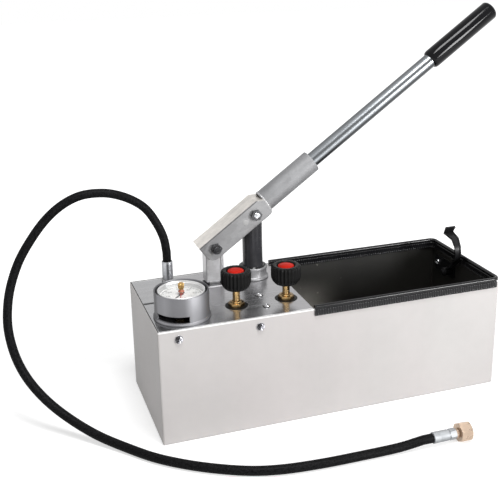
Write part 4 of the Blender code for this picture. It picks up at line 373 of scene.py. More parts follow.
def banded(name, point, way, tint, stops, roughness, metallic=1.0):
    """Polished round metal. Its soft bands are painted reflections; they run along it and lie round its own
    axis.

    way is "upright", "level" (along X), "facing" (along Y) or "lever" (along the lever's line).
    """
    paint = Paint(name)
    tilt = RISE if way == "lever" else 0.0
    x, y, z = paint.axes(paint.placed(point, tilt))
    sides = {"upright": (y, x), "level": (z, y), "lever": (z, y), "facing": (z, x)}
    turn = paint.calc("ADD", paint.calc("DIVIDE", paint.calc("ARCTAN2", *sides[way]), tau), 0.5)
    stretch = (5, 5, 1500) if way == "upright" else (1500, 5, 5)
    drawn = paint.noise(1.0, 2.0, 0.6, paint.placed(point, tilt, stretch))
    haze = paint.noise(26.0)
    body = paint.shaded(tint, paint.ramp(turn, *stops), paint.spread(drawn, 0.98, 1.015),
                        paint.spread(haze, 0.95, 1.03))
    paint.bump((drawn, 0.000001))
    return paint.finish(body, paint.spread(haze, roughness - 0.03, roughness + 0.04), metallic)


def clear_glass(name):
    """Thin clear window glass."""
    paint = Paint(name)
    smear = paint.noise(60.0)
    tone = paint.shaded((0.95, 0.97, 0.98), paint.spread(smear, 0.98, 1.0))
    return paint.finish(tone, paint.spread(smear, 0.02, 0.06), Alpha=0.06)


# Painted reflections as bands round polished metal, given as (share of the turn, brightness)
UPRIGHT_REFLECTIONS = (
    (0.0, 0.6), (0.06, 0.85), (0.11, 0.62), (0.17, 0.8), (0.21, 0.9), (0.26, 0.75), (0.31, 0.5),
    (0.38, 0.68), (0.44, 0.4), (0.5, 0.45), (0.7, 0.75), (0.93, 0.4), (1.0, 0.6),
)
GUARD_REFLECTIONS = (
    (0.0, 0.36), (0.025, 0.40), (0.055, 0.86), (0.11, 0.94), (0.16, 0.66), (0.23, 0.58), (0.275, 0.90),
    (0.33, 0.86), (0.38, 0.60), (0.43, 0.38), (0.48, 0.30), (0.6, 0.7), (0.8, 0.7), (0.95, 0.4), (1.0, 0.36),
)
TUBE_REFLECTIONS = (
    (0.0, 0.34), (0.022, 0.19), (0.05, 0.075), (0.085, 0.06), (0.14, 0.14), (0.2, 0.5), (0.3, 0.8),
    (0.42, 0.45), (0.52, 0.85), (0.62, 0.5), (0.70, 0.2), (0.75, 0.11), (0.812, 0.24), (0.84, 0.28),
    (0.888, 0.26), (0.912, 0.17), (0.932, 0.12), (0.952, 0.16), (0.975, 0.27), (0.999, 0.34),
)
LEVEL_REFLECTIONS = (
    (0.0, 0.85), (0.06, 0.6), (0.13, 0.9), (0.2, 0.45), (0.3, 0.3), (0.6, 0.7), (0.7, 0.8),
    (0.78, 1.0), (0.86, 0.8), (0.92, 1.0), (1.0, 0.85),
)
STEM_REFLECTIONS = (
    (0.0, 0.25), (0.05, 0.5), (0.10, 0.4), (0.15, 1.0), (0.19, 1.25), (0.23, 0.7), (0.28, 0.28),
    (0.34, 0.6), (0.40, 0.3), (0.46, 0.2), (0.7, 0.7), (0.93, 0.22), (1.0, 0.25),
)
OUTLET_REFLECTIONS = (
    (0.0, 0.5), (0.05, 0.75), (0.12, 1.1), (0.17, 1.15), (0.205, 0.55), (0.235, 0.38), (0.27, 0.75),
    (0.33, 1.15), (0.39, 0.9), (0.44, 0.45), (0.5, 0.4), (0.7, 0.8), (0.95, 0.4), (1.0, 0.5),
)
SCREW_REFLECTIONS = (
    (0.0, 0.12), (0.1, 0.06), (0.22, 0.5), (0.30, 0.95), (0.38, 0.35), (0.45, 0.9), (0.55, 1.0),
    (0.63, 0.3), (0.75, 0.12), (0.9, 0.05), (1.0, 0.12),
)


def upright_bands(name, node, tint, stops, roughness, metallic=1.0):
    """Metal with painted reflection bands round a node's own upright axis."""
    x, y, low, _ = stand(node)
    return banded(name, (x * MM, y * MM, low * MM), "upright", tint, stops, roughness, metallic)


# The materials. The painted shade inside the tank starts within its sheet's thickness.
INNER_SHADE_START = 0.8
# The tank's inside: painted shade near black, with a painted reflection in the pale colour.
INNER_SHADE = ((TANK_FAR.x - INNER_SHADE_START) * MM, (TANK_FAR.y - INNER_SHADE_START) * MM, INNER_SHADE_START * MM,
          (0.010, 0.0095, 0.008), (0.55, 0.525, 0.48))
# The channel's web carries a painted highlight, and its folds painted shade.
CHANNEL_WEB_HIGHLIGHT = (16.3 * MM, reach_of("lever_channel", LEVER_UP)[1] * MM, (0.90, 0.86, 0.81))
# The tank's and the plate's long folds carry a painted highlight.
STEEL_SHEET = sheet_metal("sheet_bright", (0.515, 0.495, 0.490), 0.50, 0.22, (160, 2, 2), 0.008, INNER_SHADE,
                          ((TANK_FAR.y - 1.0) * MM, (PLATE_TOP - 1.8) * MM))
PLATE_SHEET = sheet_metal("sheet_plate", (0.385, 0.385, 0.395), 0.22, 0.9, (3, 220, 3), 0.06,
                          fold_highlight=((PLATE_HIGH.y - 2.0) * MM, (PLATE_TOP - 2.2) * MM))
# The guard's bands are painted reflections.
GUARD_SHEET = upright_bands("sheet_guard", "gauge_guard", (0.30, 0.30, 0.315), GUARD_REFLECTIONS, 0.54, 0.8)
BEZEL_METAL = machined("bezel_bright", (0.72, 0.72, 0.72), 0.42)
ZINC_LEVER = galvanised("zinc_lever", (0.29, 0.292, 0.30), 0.58, 0.3, RISE)
ZINC_CHANNEL = galvanised("zinc_channel", (0.29, 0.29, 0.295), 0.42, 0.5, RISE, web=CHANNEL_WEB_HIGHLIGHT)
ZINC_POST = galvanised("zinc_post", (0.55, 0.55, 0.56), 0.36, 0.6)
DARK_ZINC = machined("dark_zinc", (0.10, 0.10, 0.105), 0.24, 0.95)
SPOT_METAL = galvanised("spot_metal", (0.37, 0.37, 0.37), 0.6, 0.15, RISE, 300.0)
WELD_METAL = galvanised("weld_metal", (0.42, 0.42, 0.43), 0.42, 0.5, 0.0, 420.0)
CASTING = cast_metal("casting", (0.10, 0.10, 0.105), 0.62, 0.3)
PLAIN_STEEL = machined("plain_steel", (0.45, 0.45, 0.46), 0.30)
BRIGHT_STEEL = machined("bright_steel", (0.60, 0.61, 0.63), 0.20)
BLACK_STEEL = moulded("black_steel", (0.012, 0.012, 0.013), 0.30, 700.0, 0.00003, 0.15)
BLACK_ROD = moulded("black_rod", (0.034, 0.034, 0.038), 0.26, 1600.0, 0.00001, 0.3)
BRASS = machined("brass_turned", (0.50, 0.33, 0.13), 0.22)
# Brass darkened to painted shade, for the gauge socket that sits in shadow.
SHADE_BRASS = machined("brass_dark", (0.05, 0.035, 0.015), 0.5)
PALE_BRASS = galvanised("brass_pale", (0.54, 0.412, 0.312), 0.30, 0.7, 0.0, 260.0)
SOFT_BLACK = moulded("trim_rubber", (0.008, 0.008, 0.009), 0.17, 1200.0, 0.00002, 0.27)
HOSE_BLACK = moulded("hose_rubber", (0.0055, 0.0055, 0.006), 0.46, 560.0, 0.00016, 0.05, (0.2, 2.2))
GRIP_BLACK = moulded("grip_rubber", (0.003, 0.003, 0.004), 0.09, 1500.0, 0.000003, 0.15)
KNOB_BLACK = moulded("knob_plastic", (0.009, 0.009, 0.009), 0.30, 1800.0, 0.00001, 0.07)
CAP_RED = moulded("cap_red", (0.50, 0.018, 0.010), 0.30, 900.0, 0.00001, 0.03)
MARKER_RED = moulded("marker_red", (0.36, 0.13, 0.09), 0.4, 900.0, 0.00001, 0.2)
DIAL_WHITE = moulded("dial_white", (0.90, 0.895, 0.88), 0.55, 300.0, 0.000003, 0.2)
PRINT_BLACK = moulded("dial_print", (0.05, 0.05, 0.055), 0.6)
GLASS = clear_glass("gauge_window")
# The chromes' bands are painted reflections.
CHROME = banded("chrome_tube", PIVOT * MM, "lever", (0.90, 0.95, 1.0), TUBE_REFLECTIONS, 0.28, 0.9)
CHROME_UPRIGHT = upright_bands("chrome_gland", "gland_nut", (0.47, 0.47, 0.48), UPRIGHT_REFLECTIONS, 0.58)
OUTLET_CHROME = upright_bands("chrome_outlet", "hose_fitting", (0.46, 0.47, 0.49), OUTLET_REFLECTIONS, 0.42)
END_CHROME = banded("chrome_end", (0, *HOSE_END.yz), "level", (0.42, 0.435, 0.45), LEVEL_REFLECTIONS, 0.6, 0.6)

# The nodes that no piece replaces
FINISHES = (
    (ZINC_POST, "lever_post"),
    (CASTING, "pump_body"),
    (PLAIN_STEEL, "post_pin", "cylinder_barrel", "strainer", "suction_ball", "piston_head",
     "release_valve_needle", "pressure_valve_needle"),
    (BRIGHT_STEEL, "piston_bolt"),
    (BLACK_STEEL, "gauge_case", "gauge_pointer", "hook_bracket", "hook_pin"),
    (DARK_ZINC, "piston_nut", "pivot_nut", "pivot_bolt"),
    (BLACK_ROD, "piston"),
    (BRASS, "foot_valve"),
    (SHADE_BRASS, "gauge_socket"),
    (PALE_BRASS, "hose_tail"),
    (SOFT_BLACK, "piston_wiper", "piston_lip_seal"),
    (CAP_RED, "drag_marker"),
    (DIAL_WHITE, "gauge_dial"),
    (GLASS, "gauge_glass"),
)


def dress_nodes():
    """Give these nodes their materials."""
    for material, *names in FINISHES:
        for name in names:
            mesh = NODES[name].data
            mesh.materials.clear()
            mesh.materials.append(material)


# Helpers that make pieces
def piece(name, bm, material, slot, body="tank_body", sharp=38, replaces=None, unit=MM):
    """A finished piece that rides on a body. It is shaded smooth up to its sharp angle, or flat at 0."""
    bm.transform(Matrix.Scale(unit, 4))
    if sharp:
        bmesh.ops.recalc_face_normals(bm, faces=bm.faces)
    mesh = bpy.data.meshes.new(name)
    bm.to_mesh(mesh)
    bm.free()
    if sharp:
        mesh.shade_smooth()
        mesh.set_sharp_from_angle(angle=radians(sharp))
    mesh.materials.append(material)
    obj = bpy.data.objects.new(name, mesh)
    SCENE.collection.objects.link(obj)
    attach(obj, body)
    if replaces:
        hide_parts(replaces)


def bridge(bm, row, after):
    """Faces between two closed rows of vertices. A row of one vertex is a tip."""
    count = max(len(row), len(after))
    for index in range(count):
        other = (index + 1) % count
        if len(row) == 1:
            bm.faces.new((row[0], after[index], after[other]))
        elif len(after) == 1:
            bm.faces.new((row[index], after[0], row[other]))
        else:
            bm.faces.new((row[index], after[index], after[other], row[other]))


def lathe(profile, facets, place, radius_at=None, bm=None):
    """Turn (radius, height) points about Z. Points on the axis close a solid, a loop makes a ring."""
    bm = bm or bmesh.new()
    rows = []
    for radius, height in profile:
        row = []
        for index in range(facets if radius > 0 else 1):
            angle = tau * index / facets
            reach = radius_at(radius, height, angle) if radius_at and radius > 0 else radius
            row.append(bm.verts.new(place @ Vector((reach * cos(angle), reach * sin(angle), height))))
        rows.append(row)
    if all(radius > 0 for radius, _ in profile):
        rows.append(rows[0])
    for row, after in zip(rows, rows[1:]):
        bridge(bm, row, after)
    return bm


def turned(name, profile, facets, place, *finish, radius_at=None, **more):
    """A piece turned on a lathe."""
    piece(name, lathe(profile, facets, place, radius_at), *finish, **more)


def swept(bm, rows):
    """Faces along rows of one section, with an end face at each end."""
    for row, after in zip(rows, rows[1:]):
        bridge(bm, row, after)
    bm.faces.new(rows[0])
    bm.faces.new(rows[-1])


def raised(level, *points):
    """Profile points, given as (radius, height over a level)."""
    return [(radius, level + height) for radius, height in points]


def rounded(profile, radius):
    """The same profile with its corners rounded. First and last points stay."""
    steps, straight = 3, radians(12)
    points = [Vector((*point, 0)) for point in profile]
    result = [tuple(profile[0])]
    for before, corner, after in zip(points, points[1:], points[2:]):
        into, out = corner - before, after - corner
        if into.angle(out, 0) < straight:
            result.append(tuple(corner.xy))
            continue
        cut = min(radius, into.length * 0.45, out.length * 0.45)
        start = corner - into.normalized() * cut
        end = corner + out.normalized() * cut
        for step in range(steps + 1):
            t = step / steps
            point = start.lerp(corner, t).lerp(corner.lerp(end, t), t)
            result.append(tuple(point.xy))
    result.append(tuple(profile[-1]))
    return result


def at(x, y, z=0.0, direction=(0, 0, 1), turn=0.0):
    """A place whose Z axis points along direction, turned about it."""
    facing = Vector((0, 0, 1)).rotation_difference(Vector(direction)).to_matrix().to_4x4()
    return Matrix.Translation((x, y, z)) @ facing @ Matrix.Rotation(turn, 4, "Z")


def hexed(across_flats, above=0.0):
    """Limits a lathe to a hexagon, where it is above a height."""
    def radius_at(radius, height, angle):
        if radius < across_flats / 2 or height < above:
            return radius
        flat = (across_flats / 2) / cos((angle + pi / 6) % (pi / 3) - pi / 6)
        return min(flat, radius)
    return radius_at


def hex_profile(across_flats, bottom, top, chamfer, steps=5):
    """A chamfered hexagon's outer profile, for a lathe limited by hexed()."""
    corner, flat = across_flats / sqrt(3) + 0.05, across_flats / 2
    rise = min((corner - flat) * 0.7, chamfer)
    shares = [step / steps for step in range(steps + 1)]
    lower = [(flat + (corner - flat) * share, bottom + rise * share ** 1.5) for share in shares]
    upper = [(flat + (corner - flat) * share, top - rise * share ** 1.5) for share in reversed(shares)]
    return [(flat - 0.3, bottom), *lower, *upper, (flat - 0.3, top)]


def fade_in(value, start, length):
    """0 up to start, then rising to 1 over a length."""
    return max(0.0, min(1.0, (value - start) / length))


# Hose
HOSE_ROUTE = (
    (-0.1850, 0.0636, 0.2130), (-0.1925, 0.0660, 0.2330), (-0.2050, 0.0700, 0.2535),
    (-0.2215, 0.0735, 0.2665), (-0.2420, 0.0765, 0.2755), (-0.2625, 0.0785, 0.2793),
    (-0.2870, 0.0795, 0.2780), (-0.3105, 0.0795, 0.2685), (-0.3330, 0.0790, 0.2510),
    (-0.3535, 0.0775, 0.2270), (-0.3715, 0.0740, 0.2000), (-0.3850, 0.0680, 0.1680),
    (-0.3915, 0.0600, 0.1380), (-0.3920, 0.0490, 0.1135), (-0.3865, 0.0340, 0.0870),
    (-0.3748, 0.0145, 0.0645), (-0.3563, -0.0045, 0.0430), (-0.3325, -0.0245, 0.0245),
    (-0.3035, -0.0520, 0.0112), (-0.2710, -0.0865, 0.0062), (-0.2420, -0.1190, 0.0061),
    (-0.2020, -0.1500, 0.0061), (-0.1560, -0.1752, 0.0061), (-0.1170, -0.1870, 0.0061),
    (-0.0700, -0.1922, 0.0061), (-0.0200, -0.1935, 0.0061), (0.0300, -0.1942, 0.0068),
)
HOSE_LEAD = 12 * MM
HOSE_RADIUS = 5.75 * MM


def smooth_path(route, substeps=24):
    """Points on a smooth curve through the route's points."""
    points = [Vector(point) for point in route]
    padded = [points[0] * 2 - points[1], *points, points[-1] * 2 - points[-2]]
    path = []
    for index in range(1, len(padded) - 2):
        before, start, end, after = padded[index - 1:index + 3]
        for step in range(substeps):
            t = step / substeps
            path.append((
                start * 2 + (end - before) * t
                + (before * 2 - start * 5 + end * 4 - after) * t ** 2
                + (start * 3 - before - end * 3 + after) * t ** 3
            ) / 2)
    path.append(points[-1])
    return path


def evenly(path, spacing):
    """Points at even steps along a path."""
    lengths = [0.0]
    for start, end in zip(path, path[1:]):
        lengths.append(lengths[-1] + (end - start).length)
    count = round(lengths[-1] / spacing)
    even, place = [], 0
    for index in range(count + 1):
        wanted = lengths[-1] * index / count
        while place < len(path) - 2 and lengths[place + 1] < wanted:
            place += 1
        share = (wanted - lengths[place]) / (lengths[place + 1] - lengths[place])
        even.append(path[place].lerp(path[place + 1], share))
    return even


def make_hose():
    """The hose as one curve."""
    lead_in = HOSE_START + Vector((0, 0, HOSE_LEAD))
    lead_out = HOSE_END - Vector((HOSE_LEAD, 0, 0))
    run = evenly(smooth_path((lead_in, *HOSE_ROUTE, lead_out)), 5 * MM)
    path = [HOSE_START, HOSE_START.lerp(lead_in, 0.5), *run, lead_out.lerp(HOSE_END, 0.5), HOSE_END]
    curve = bpy.data.curves.new("hose_line", "CURVE")
    curve.dimensions = "3D"
    curve.bevel_depth = HOSE_RADIUS
    curve.bevel_resolution = 5
    curve.use_fill_caps = True
    spline = curve.splines.new("POLY")
    spline.points.add(len(path) - 1)
    for target, point in zip(spline.points, path):
        target.co = (*point, 1)
    curve.materials.append(HOSE_BLACK)
    hose = bpy.data.objects.new("hose_line", curve)
    SCENE.collection.objects.link(hose)
    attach(hose, "tank_body")
    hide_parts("hose")


# Sheet parts
def soften(width, *names):
    """Fine rounded edges on CAD nodes."""
    for name in names:
        edge = NODES[name].modifiers.new("Edge", "BEVEL")
        edge.width = width * MM
        edge.segments = 2
        edge.limit_method = "ANGLE"
        edge.angle_limit = radians(40)
        edge.harden_normals = True


def folded(name, node, radius, chosen, material, slot, body="tank_body"):
    """A sheet part with round bends in place of its sharp outer folds. It stays in metres."""
    bm = bmesh.new()
    bm.from_mesh(NODES[node].data)
    bmesh.ops.bevel(bm, geom=[edge for edge in bm.edges if chosen(edge)], offset=radius * MM, segments=4,
                    profile=0.5, affect="EDGES")
    piece(name, bm, material, slot, body, sharp=30, replaces=node, unit=1.0)


def make_sheets():
    """Cover, tank and channel with the bends that folded sheet has."""
    near = 0.1 * MM
    low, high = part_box("top_cover")
    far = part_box("tank")[1]
    side_low, side_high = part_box("lever_channel")

    def on_cover(edge):
        on_rim = all(
            vert.co.z > high.z - near and (abs(vert.co.y) > high.y - near or vert.co.x < low.x + near)
            for vert in edge.verts)
        return on_rim and len({face.normal.z > 0.5 for face in edge.link_faces}) == 2

    def on_tank(edge):
        return all(abs(vert.co.x) > far.x - near and abs(vert.co.y) > far.y - near for vert in edge.verts)

    def on_channel(edge):
        on_side = not any(side_low.y + near < vert.co.y < side_high.y - near for vert in edge.verts)
        return on_side and any(face.normal.dot(LEVER_UP) > 0.7 for face in edge.link_faces)

    folded("cover_plate", "top_cover", 2.0, on_cover, PLATE_SHEET, "sheet_steel")
    folded("tank_shell", "tank", 3.6, on_tank, STEEL_SHEET, "sheet_steel")
    folded("channel", "lever_channel", 1.6, on_channel, ZINC_CHANNEL, "galvanised", "lever")


def slab(name, low, high, edge, material, slot):
    """A thin rounded bar between two corners."""
    low, high = Vector(low), Vector(high)
    bm = bmesh.new()
    bmesh.ops.create_cube(bm, size=1)
    bmesh.ops.scale(bm, vec=high - low, verts=bm.verts)
    bmesh.ops.translate(bm, vec=(low + high) / 2, verts=bm.verts)
    bmesh.ops.bevel(bm, geom=bm.edges[:], offset=edge, segments=3, profile=0.5, affect="EDGES")
    piece(name, bm, material, slot)


def make_plate_details():
    """A black slab of painted shadow over the relief slot at the plate's left edge, and the rolled lip before
    the post.
    """
    left, top = PLATE_LOW.x, PLATE_TOP
    # A black slab stands for the shadow in the relief slot.
    slab("relief_slot_shadow", (left + 0.6, 1.6, top - 0.8), (left + 14.0, 6.2, top + 0.25), 0.2,
         SOFT_BLACK, "sheet_steel")
    middle, front = stand("lever_post")[0], box_mm("lever_post")[0].y
    slab("slot_lip", (middle - 14.0, front - 4.6, top - 0.5), (middle + 13.0, front - 2.2, top + 0.9), 0.6,
         ZINC_POST, "plain_steel")


# Valves
STEM_RADIUS = 4.65
BORE_RADIUS = 4.95


def make_knob(kind):
    """A fluted knob with a dished top, on its spindle."""
    x, y, low, high = stand(f"{kind}_valve_knob")
    crown = high + 3.6
    foot, widest, dish = 12.6, 19.0, 11.3
    flutes, depth = 24, 1.5

    def fluted(radius, height, angle):
        wave = (0.5 + 0.5 * cos(flutes * angle)) ** 1.6
        return radius - depth * wave * fade_in(radius, 15.2, 2.6)

    profile = rounded([
        *raised(low, (BORE_RADIUS, 0.3), (foot, 0), (foot + 1.6, 0.8), (17.3, 4.6), (widest, 8.8)),
        *raised(crown, (widest, -3.4), (18.2, -1.1), (16.2, 0), (12.6, -0.1), (dish, -1.6), (dish, -4.6),
                (BORE_RADIUS, -4.6)),
    ], 1.1)
    turned(f"{kind}_knob", profile, flutes * 10, at(x, y), KNOB_BLACK, "knob_plastic", f"{kind}_spindle",
           radius_at=fluted, sharp=50, replaces=f"{kind}_valve_knob")


def make_cap(kind):
    """The domed cap in the knob's top, with a fine groove near its edge."""
    x, y, low, high = stand(f"{kind}_valve_cap")
    radius, top = 10.2, high + 2.3
    profile = [
        (0, low), (radius, low),
        *raised(top, (radius, -1.9), (radius - 0.3, -1.3), (radius - 0.9, -0.9), (radius - 1.5, -0.75),
                (radius - 1.8, -1.0), (radius - 2.1, -0.7), (6.0, -0.35), (3.5, -0.1), (1.5, 0), (0, 0)),
    ]
    turned(f"{kind}_cap", profile, 96, at(x, y), CAP_RED, "cap_plastic", f"{kind}_spindle",
           sharp=60, replaces=f"{kind}_valve_cap")


def make_bonnet(kind, brass):
    """The brass hexagon with its low turned neck, on a black ring that is painted shade in the plate's hole.
    """
    x, y, low, _ = stand(f"{kind}_valve_bonnet")
    flats, neck, thread = 18.2, 6.2, 7.0
    foot, shoulder = PLATE_TOP - 1.5, PLATE_TOP + 4.8
    profile = [
        (BORE_RADIUS, low), (thread, low), (thread, foot), *hex_profile(flats, foot, shoulder, 1.5),
        *raised(shoulder, (neck + 0.7, 0), (neck, 0.4), (neck - 0.2, 1.5), (neck - 0.7, 1.9),
                (BORE_RADIUS + 0.2, 1.9), (BORE_RADIUS, 1.6)),
    ]
    turned(f"{kind}_bonnet", profile, 96, at(x, y, turn=radians(10)), brass, "brass",
           radius_at=hexed(flats), sharp=30, replaces=f"{kind}_valve_bonnet")
    # A black ring stands for the shade in the plate's hole round the hexagon.
    seat = rounded(raised(PLATE_TOP, (9.0, -0.3), (14.4, -0.3), (14.4, 0.3), (9.0, 0.3)), 0.2)
    turned(f"{kind}_seat", seat, 96, at(x, y), KNOB_BLACK, "seal_rubber")


def make_stem(kind, brass):
    """The turned stem, with a collar under the knob."""
    x, y, low, high = stand(f"{kind}_valve_stem")
    under_knob = stand(f"{kind}_valve_knob")[2] - 0.1
    radius, collar = STEM_RADIUS, STEM_RADIUS + 0.6
    profile = [
        *raised(low, (0, 0), (radius - 0.4, 0), (radius, 0.4)),
        *raised(under_knob, (radius, -1.2), (collar, -0.9), (collar, 0), (radius, 0)),
        (radius, high), (0, high),
    ]
    turned(f"{kind}_stem", profile, 64, at(x, y), brass, "brass", f"{kind}_spindle",
           replaces=f"{kind}_valve_stem")


def make_valve(kind):
    """One valve. Its brass has painted reflections as streaks round its own axis."""
    brass = upright_bands(f"brass_{kind}", f"{kind}_valve_bonnet", (0.75, 0.50, 0.22), STEM_REFLECTIONS, 0.20)
    make_knob(kind)
    make_cap(kind)
    make_bonnet(kind, brass)
    make_stem(kind, brass)


# Gauge
def make_guard():
    """The gauge's guard: a rolled ring on a flange, with one low window."""
    _, _, bottom, top = stand("gauge_guard")
    outer, wall, flange = 33.5, 1.9, 35.2
    inner = outer - wall
    sill, lintel = bottom + 3.4, bottom + 11.4
    facets, window = 180, (-166, -88)
    start, end = ((degrees + 360) * facets // 360 for degrees in window)
    profile = [
        *raised(bottom, (inner, 0), (flange, 0), (flange, 1.4), (34.8, 1.9), (34.1, 2.2), (33.7, 2.5),
                (outer, 2.9)),
        (outer, sill), (outer, lintel),
        *raised(top, (outer, -0.9), (outer - 0.3, -0.3), (outer - 0.95, 0), (inner + 0.3, -0.3),
                (inner, -0.9)),
        (inner, lintel), (inner, sill),
    ]
    sill_out, lintel_out, lintel_in, sill_in = 7, 8, 14, 15
    bm = bmesh.new()
    rows = []
    for radius, height in profile:
        rows.append([
            bm.verts.new((GAUGE[0] + radius * cos(tau * index / facets),
                          GAUGE[1] + radius * sin(tau * index / facets), height))
            for index in range(facets)
        ])
    for index in range(facets):
        after = (index + 1) % facets
        pairs = [(upper, (upper + 1) % len(rows)) for upper in range(len(rows))]
        if start <= index < end:
            pairs.remove((sill_out, lintel_out))
            pairs.remove((lintel_in, sill_in))
            pairs += [(sill_out, sill_in), (lintel_out, lintel_in)]
        for upper, lower in pairs:
            bm.faces.new((rows[upper][index], rows[lower][index], rows[lower][after], rows[upper][after]))
    for index in (start, end):
        bm.faces.new([rows[corner][index] for corner in (sill_out, lintel_out, lintel_in, sill_in)])
    piece("guard_ring", bm, GUARD_SHEET, "sheet_steel", replaces="gauge_guard")


def make_bezel():
    """The gauge's bright bezel: a rolled lip over a sloping inner wall."""
    _, _, low, high = stand("gauge_bezel")
    lip, seat = high + 1.9, high - 0.95
    outer, window = 29.2, 26.6
    profile = [
        (outer - 1.5, low), (outer, low),
        *raised(lip, (outer, -1.2), (outer - 0.15, -0.6), (outer - 0.6, -0.15), (outer - 1.1, 0),
                (outer - 1.6, -0.25)),
        *raised(seat, (window + 0.5, 0.9), (window, 0.5), (window, 0), (outer - 1.5, 0)),
    ]
    turned("bezel_ring", profile, 144, at(*GAUGE), BEZEL_METAL, "bezel_metal",
           sharp=25, replaces="gauge_bezel")


def print_text(name, text, size, place):
    """Flat printed figures on the dial."""
    font = bpy.data.curves.new(name, "FONT")
    font.body = text
    font.size = size
    font.align_x = "CENTER"
    font.align_y = "CENTER"
    font.resolution_u = 3
    shape = bpy.data.objects.new(name, font)
    SCENE.collection.objects.link(shape)
    bpy.context.view_layer.update()
    mesh = bpy.data.meshes.new_from_object(shape.evaluated_get(bpy.context.evaluated_depsgraph_get()))
    bpy.data.objects.remove(shape, do_unlink=True)
    bm = bmesh.new()
    bm.from_mesh(mesh)
    bmesh.ops.remove_doubles(bm, verts=bm.verts, dist=0.001)
    bm.transform(Matrix.Translation(place))
    piece(name, bm, PRINT_BLACK, "dial_face", sharp=0)


def make_dial_print():
    """Scale from 0 to 60 bar over 270 degrees, clockwise from lower left."""
    level = stand("gauge_dial")[3] + 0.06
    zero, sweep, full = radians(225), radians(270), 60
    inner, outer, arc_steps = 24.2, 24.6, 108

    def on_dial(reach, share, aside=0.0):
        """A place at a share of the scale, moved aside from its mark."""
        angle = zero - sweep * share
        out = Vector((cos(angle), sin(angle), 0))
        return Vector((*GAUGE, level)) + out * reach + Vector((-out.y, out.x, 0)) * aside

    bm = bmesh.new()
    for mark in range(full + 1):
        if mark % 10 == 0:
            inside, half = 20.2, 0.30
        elif mark % 5 == 0:
            inside, half = 21.4, 0.18
        else:
            inside, half = 22.4, 0.11
        corners = ((inside, -half), (inner, -half), (inner, half), (inside, half))
        bm.faces.new([bm.verts.new(on_dial(reach, mark / full, aside)) for reach, aside in corners])
    for step in range(arc_steps):
        corners = ((inner, step), (inner, step + 1), (outer, step + 1), (outer, step))
        bm.faces.new([bm.verts.new(on_dial(reach, place / arc_steps)) for reach, place in corners])
    piece("dial_scale", bm, PRINT_BLACK, "dial_face", sharp=0)
    for mark in range(0, full + 1, 10):
        print_text(f"dial_number_{mark}", str(mark), 5.2, on_dial(16.6, mark / full))
    print_text("dial_unit", "bar", 4.4, (GAUGE[0], GAUGE[1] - 11.5, level))


def make_marker_knob():
    """The knurled brass knob over the glass, with the marker's red hub under it."""
    _, _, low, high = stand("marker_knob")
    glass_top = stand("gauge_glass")[3] + 0.3
    top = high + 1.5
    radius, neck, knurls, depth = 3.7, 2.6, 18, 0.5

    def knurled(reach, height, angle):
        return reach - depth * (0.5 + 0.5 * cos(knurls * angle)) * fade_in(reach, 3.1, 0.5)

    profile = [
        (0, low), (1.4, low),
        *raised(glass_top, (1.4, 2.8), (neck, 3.0), (neck, 3.8), (radius, 4.2)),
        *raised(top, (radius, -0.6), (3.4, -0.15), (3.0, 0), (1.9, 0), (1.6, -0.5), (0, -0.5)),
    ]
    turned("marker_grip", profile, knurls * 6, at(*GAUGE), BRASS, "brass", "marker",
           radius_at=knurled, replaces="marker_knob")
    hub = raised(glass_top, (1.6, 0), (3.8, 0), (3.8, 0.7), (3.3, 1.5), (neck, 2.7), (1.6, 2.7))
    turned("marker_hub", hub, 64, at(*GAUGE), MARKER_RED, "cap_plastic", "marker")


# Gland and lever
def make_gland():
    """The chromed gland nut with a spanner ring at its top."""
    x, y, low, high = stand("gland_nut")
    bore, thread, flange, barrel, ring = 13.9, 16.2, 20.5, 18.3, 19.0
    foot = PLATE_TOP + RIM_GAP
    profile = rounded([
        (bore, low), (thread, low),
        *raised(foot, (thread, 0), (flange, 0), (flange, 2.7), (18.9, 3.1), (barrel, 3.9), (barrel, 12.1),
                (ring, 12.7)),
        *raised(high, (ring, -0.7), (18.4, 0), (16.6, 0), (15.9, -2.8), (bore, -2.8)),
    ], 0.5)
    turned("gland", profile, 144, at(x, y), CHROME_UPRIGHT, "chrome",
           sharp=40, replaces="gland_nut")


def make_handle():
    """Socket, chromed tube and grip, along the lever's own line."""
    line = at(*PIVOT, LEVER_WAY)
    start, end = reach_of("handle_tube", LEVER_WAY)
    tube = [(8.5, start), (10.0, start), (10.0, end), (8.5, end)]
    turned("tube", tube, 96, line, CHROME, "chrome", "lever", replaces="handle_tube")
    weld, mouth = reach_of("lever_channel", LEVER_WAY)[1], reach_of("handle_socket", LEVER_WAY)[1]
    bore, outside = 10.3, 15.0
    socket = rounded([
        *raised(weld, (bore, 1.3), (13.6, 0.3), (outside, 1.0)),
        *raised(mouth, (outside, -0.7), (outside - 0.7, 0), (bore + 0.6, 0), (bore, -0.7)),
    ], 0.4)
    turned("socket", socket, 96, line, ZINC_LEVER, "galvanised", "lever", replaces="handle_socket")
    lip, tip = reach_of("handle_grip", LEVER_WAY)
    radius, dome, dome_steps = 13.1, 6.5, 12
    grip = [(0, end), (10.15, end)]
    grip += raised(lip, (10.15, -2.4), (10.35, -3.0), (10.8, -3.2), (12.2, -2.0), (12.9, 0.2), (radius, 3.0),
                   (radius, 14.0))
    for step in range(1, dome_steps):
        angle = pi / 2 * step / dome_steps
        grip.append((radius * cos(angle) ** 0.62, tip - dome * (1 - sin(angle))))
    grip.append((0, tip))
    turned("grip", grip, 96, line, GRIP_BLACK, "grip_rubber", "lever", replaces="handle_grip")


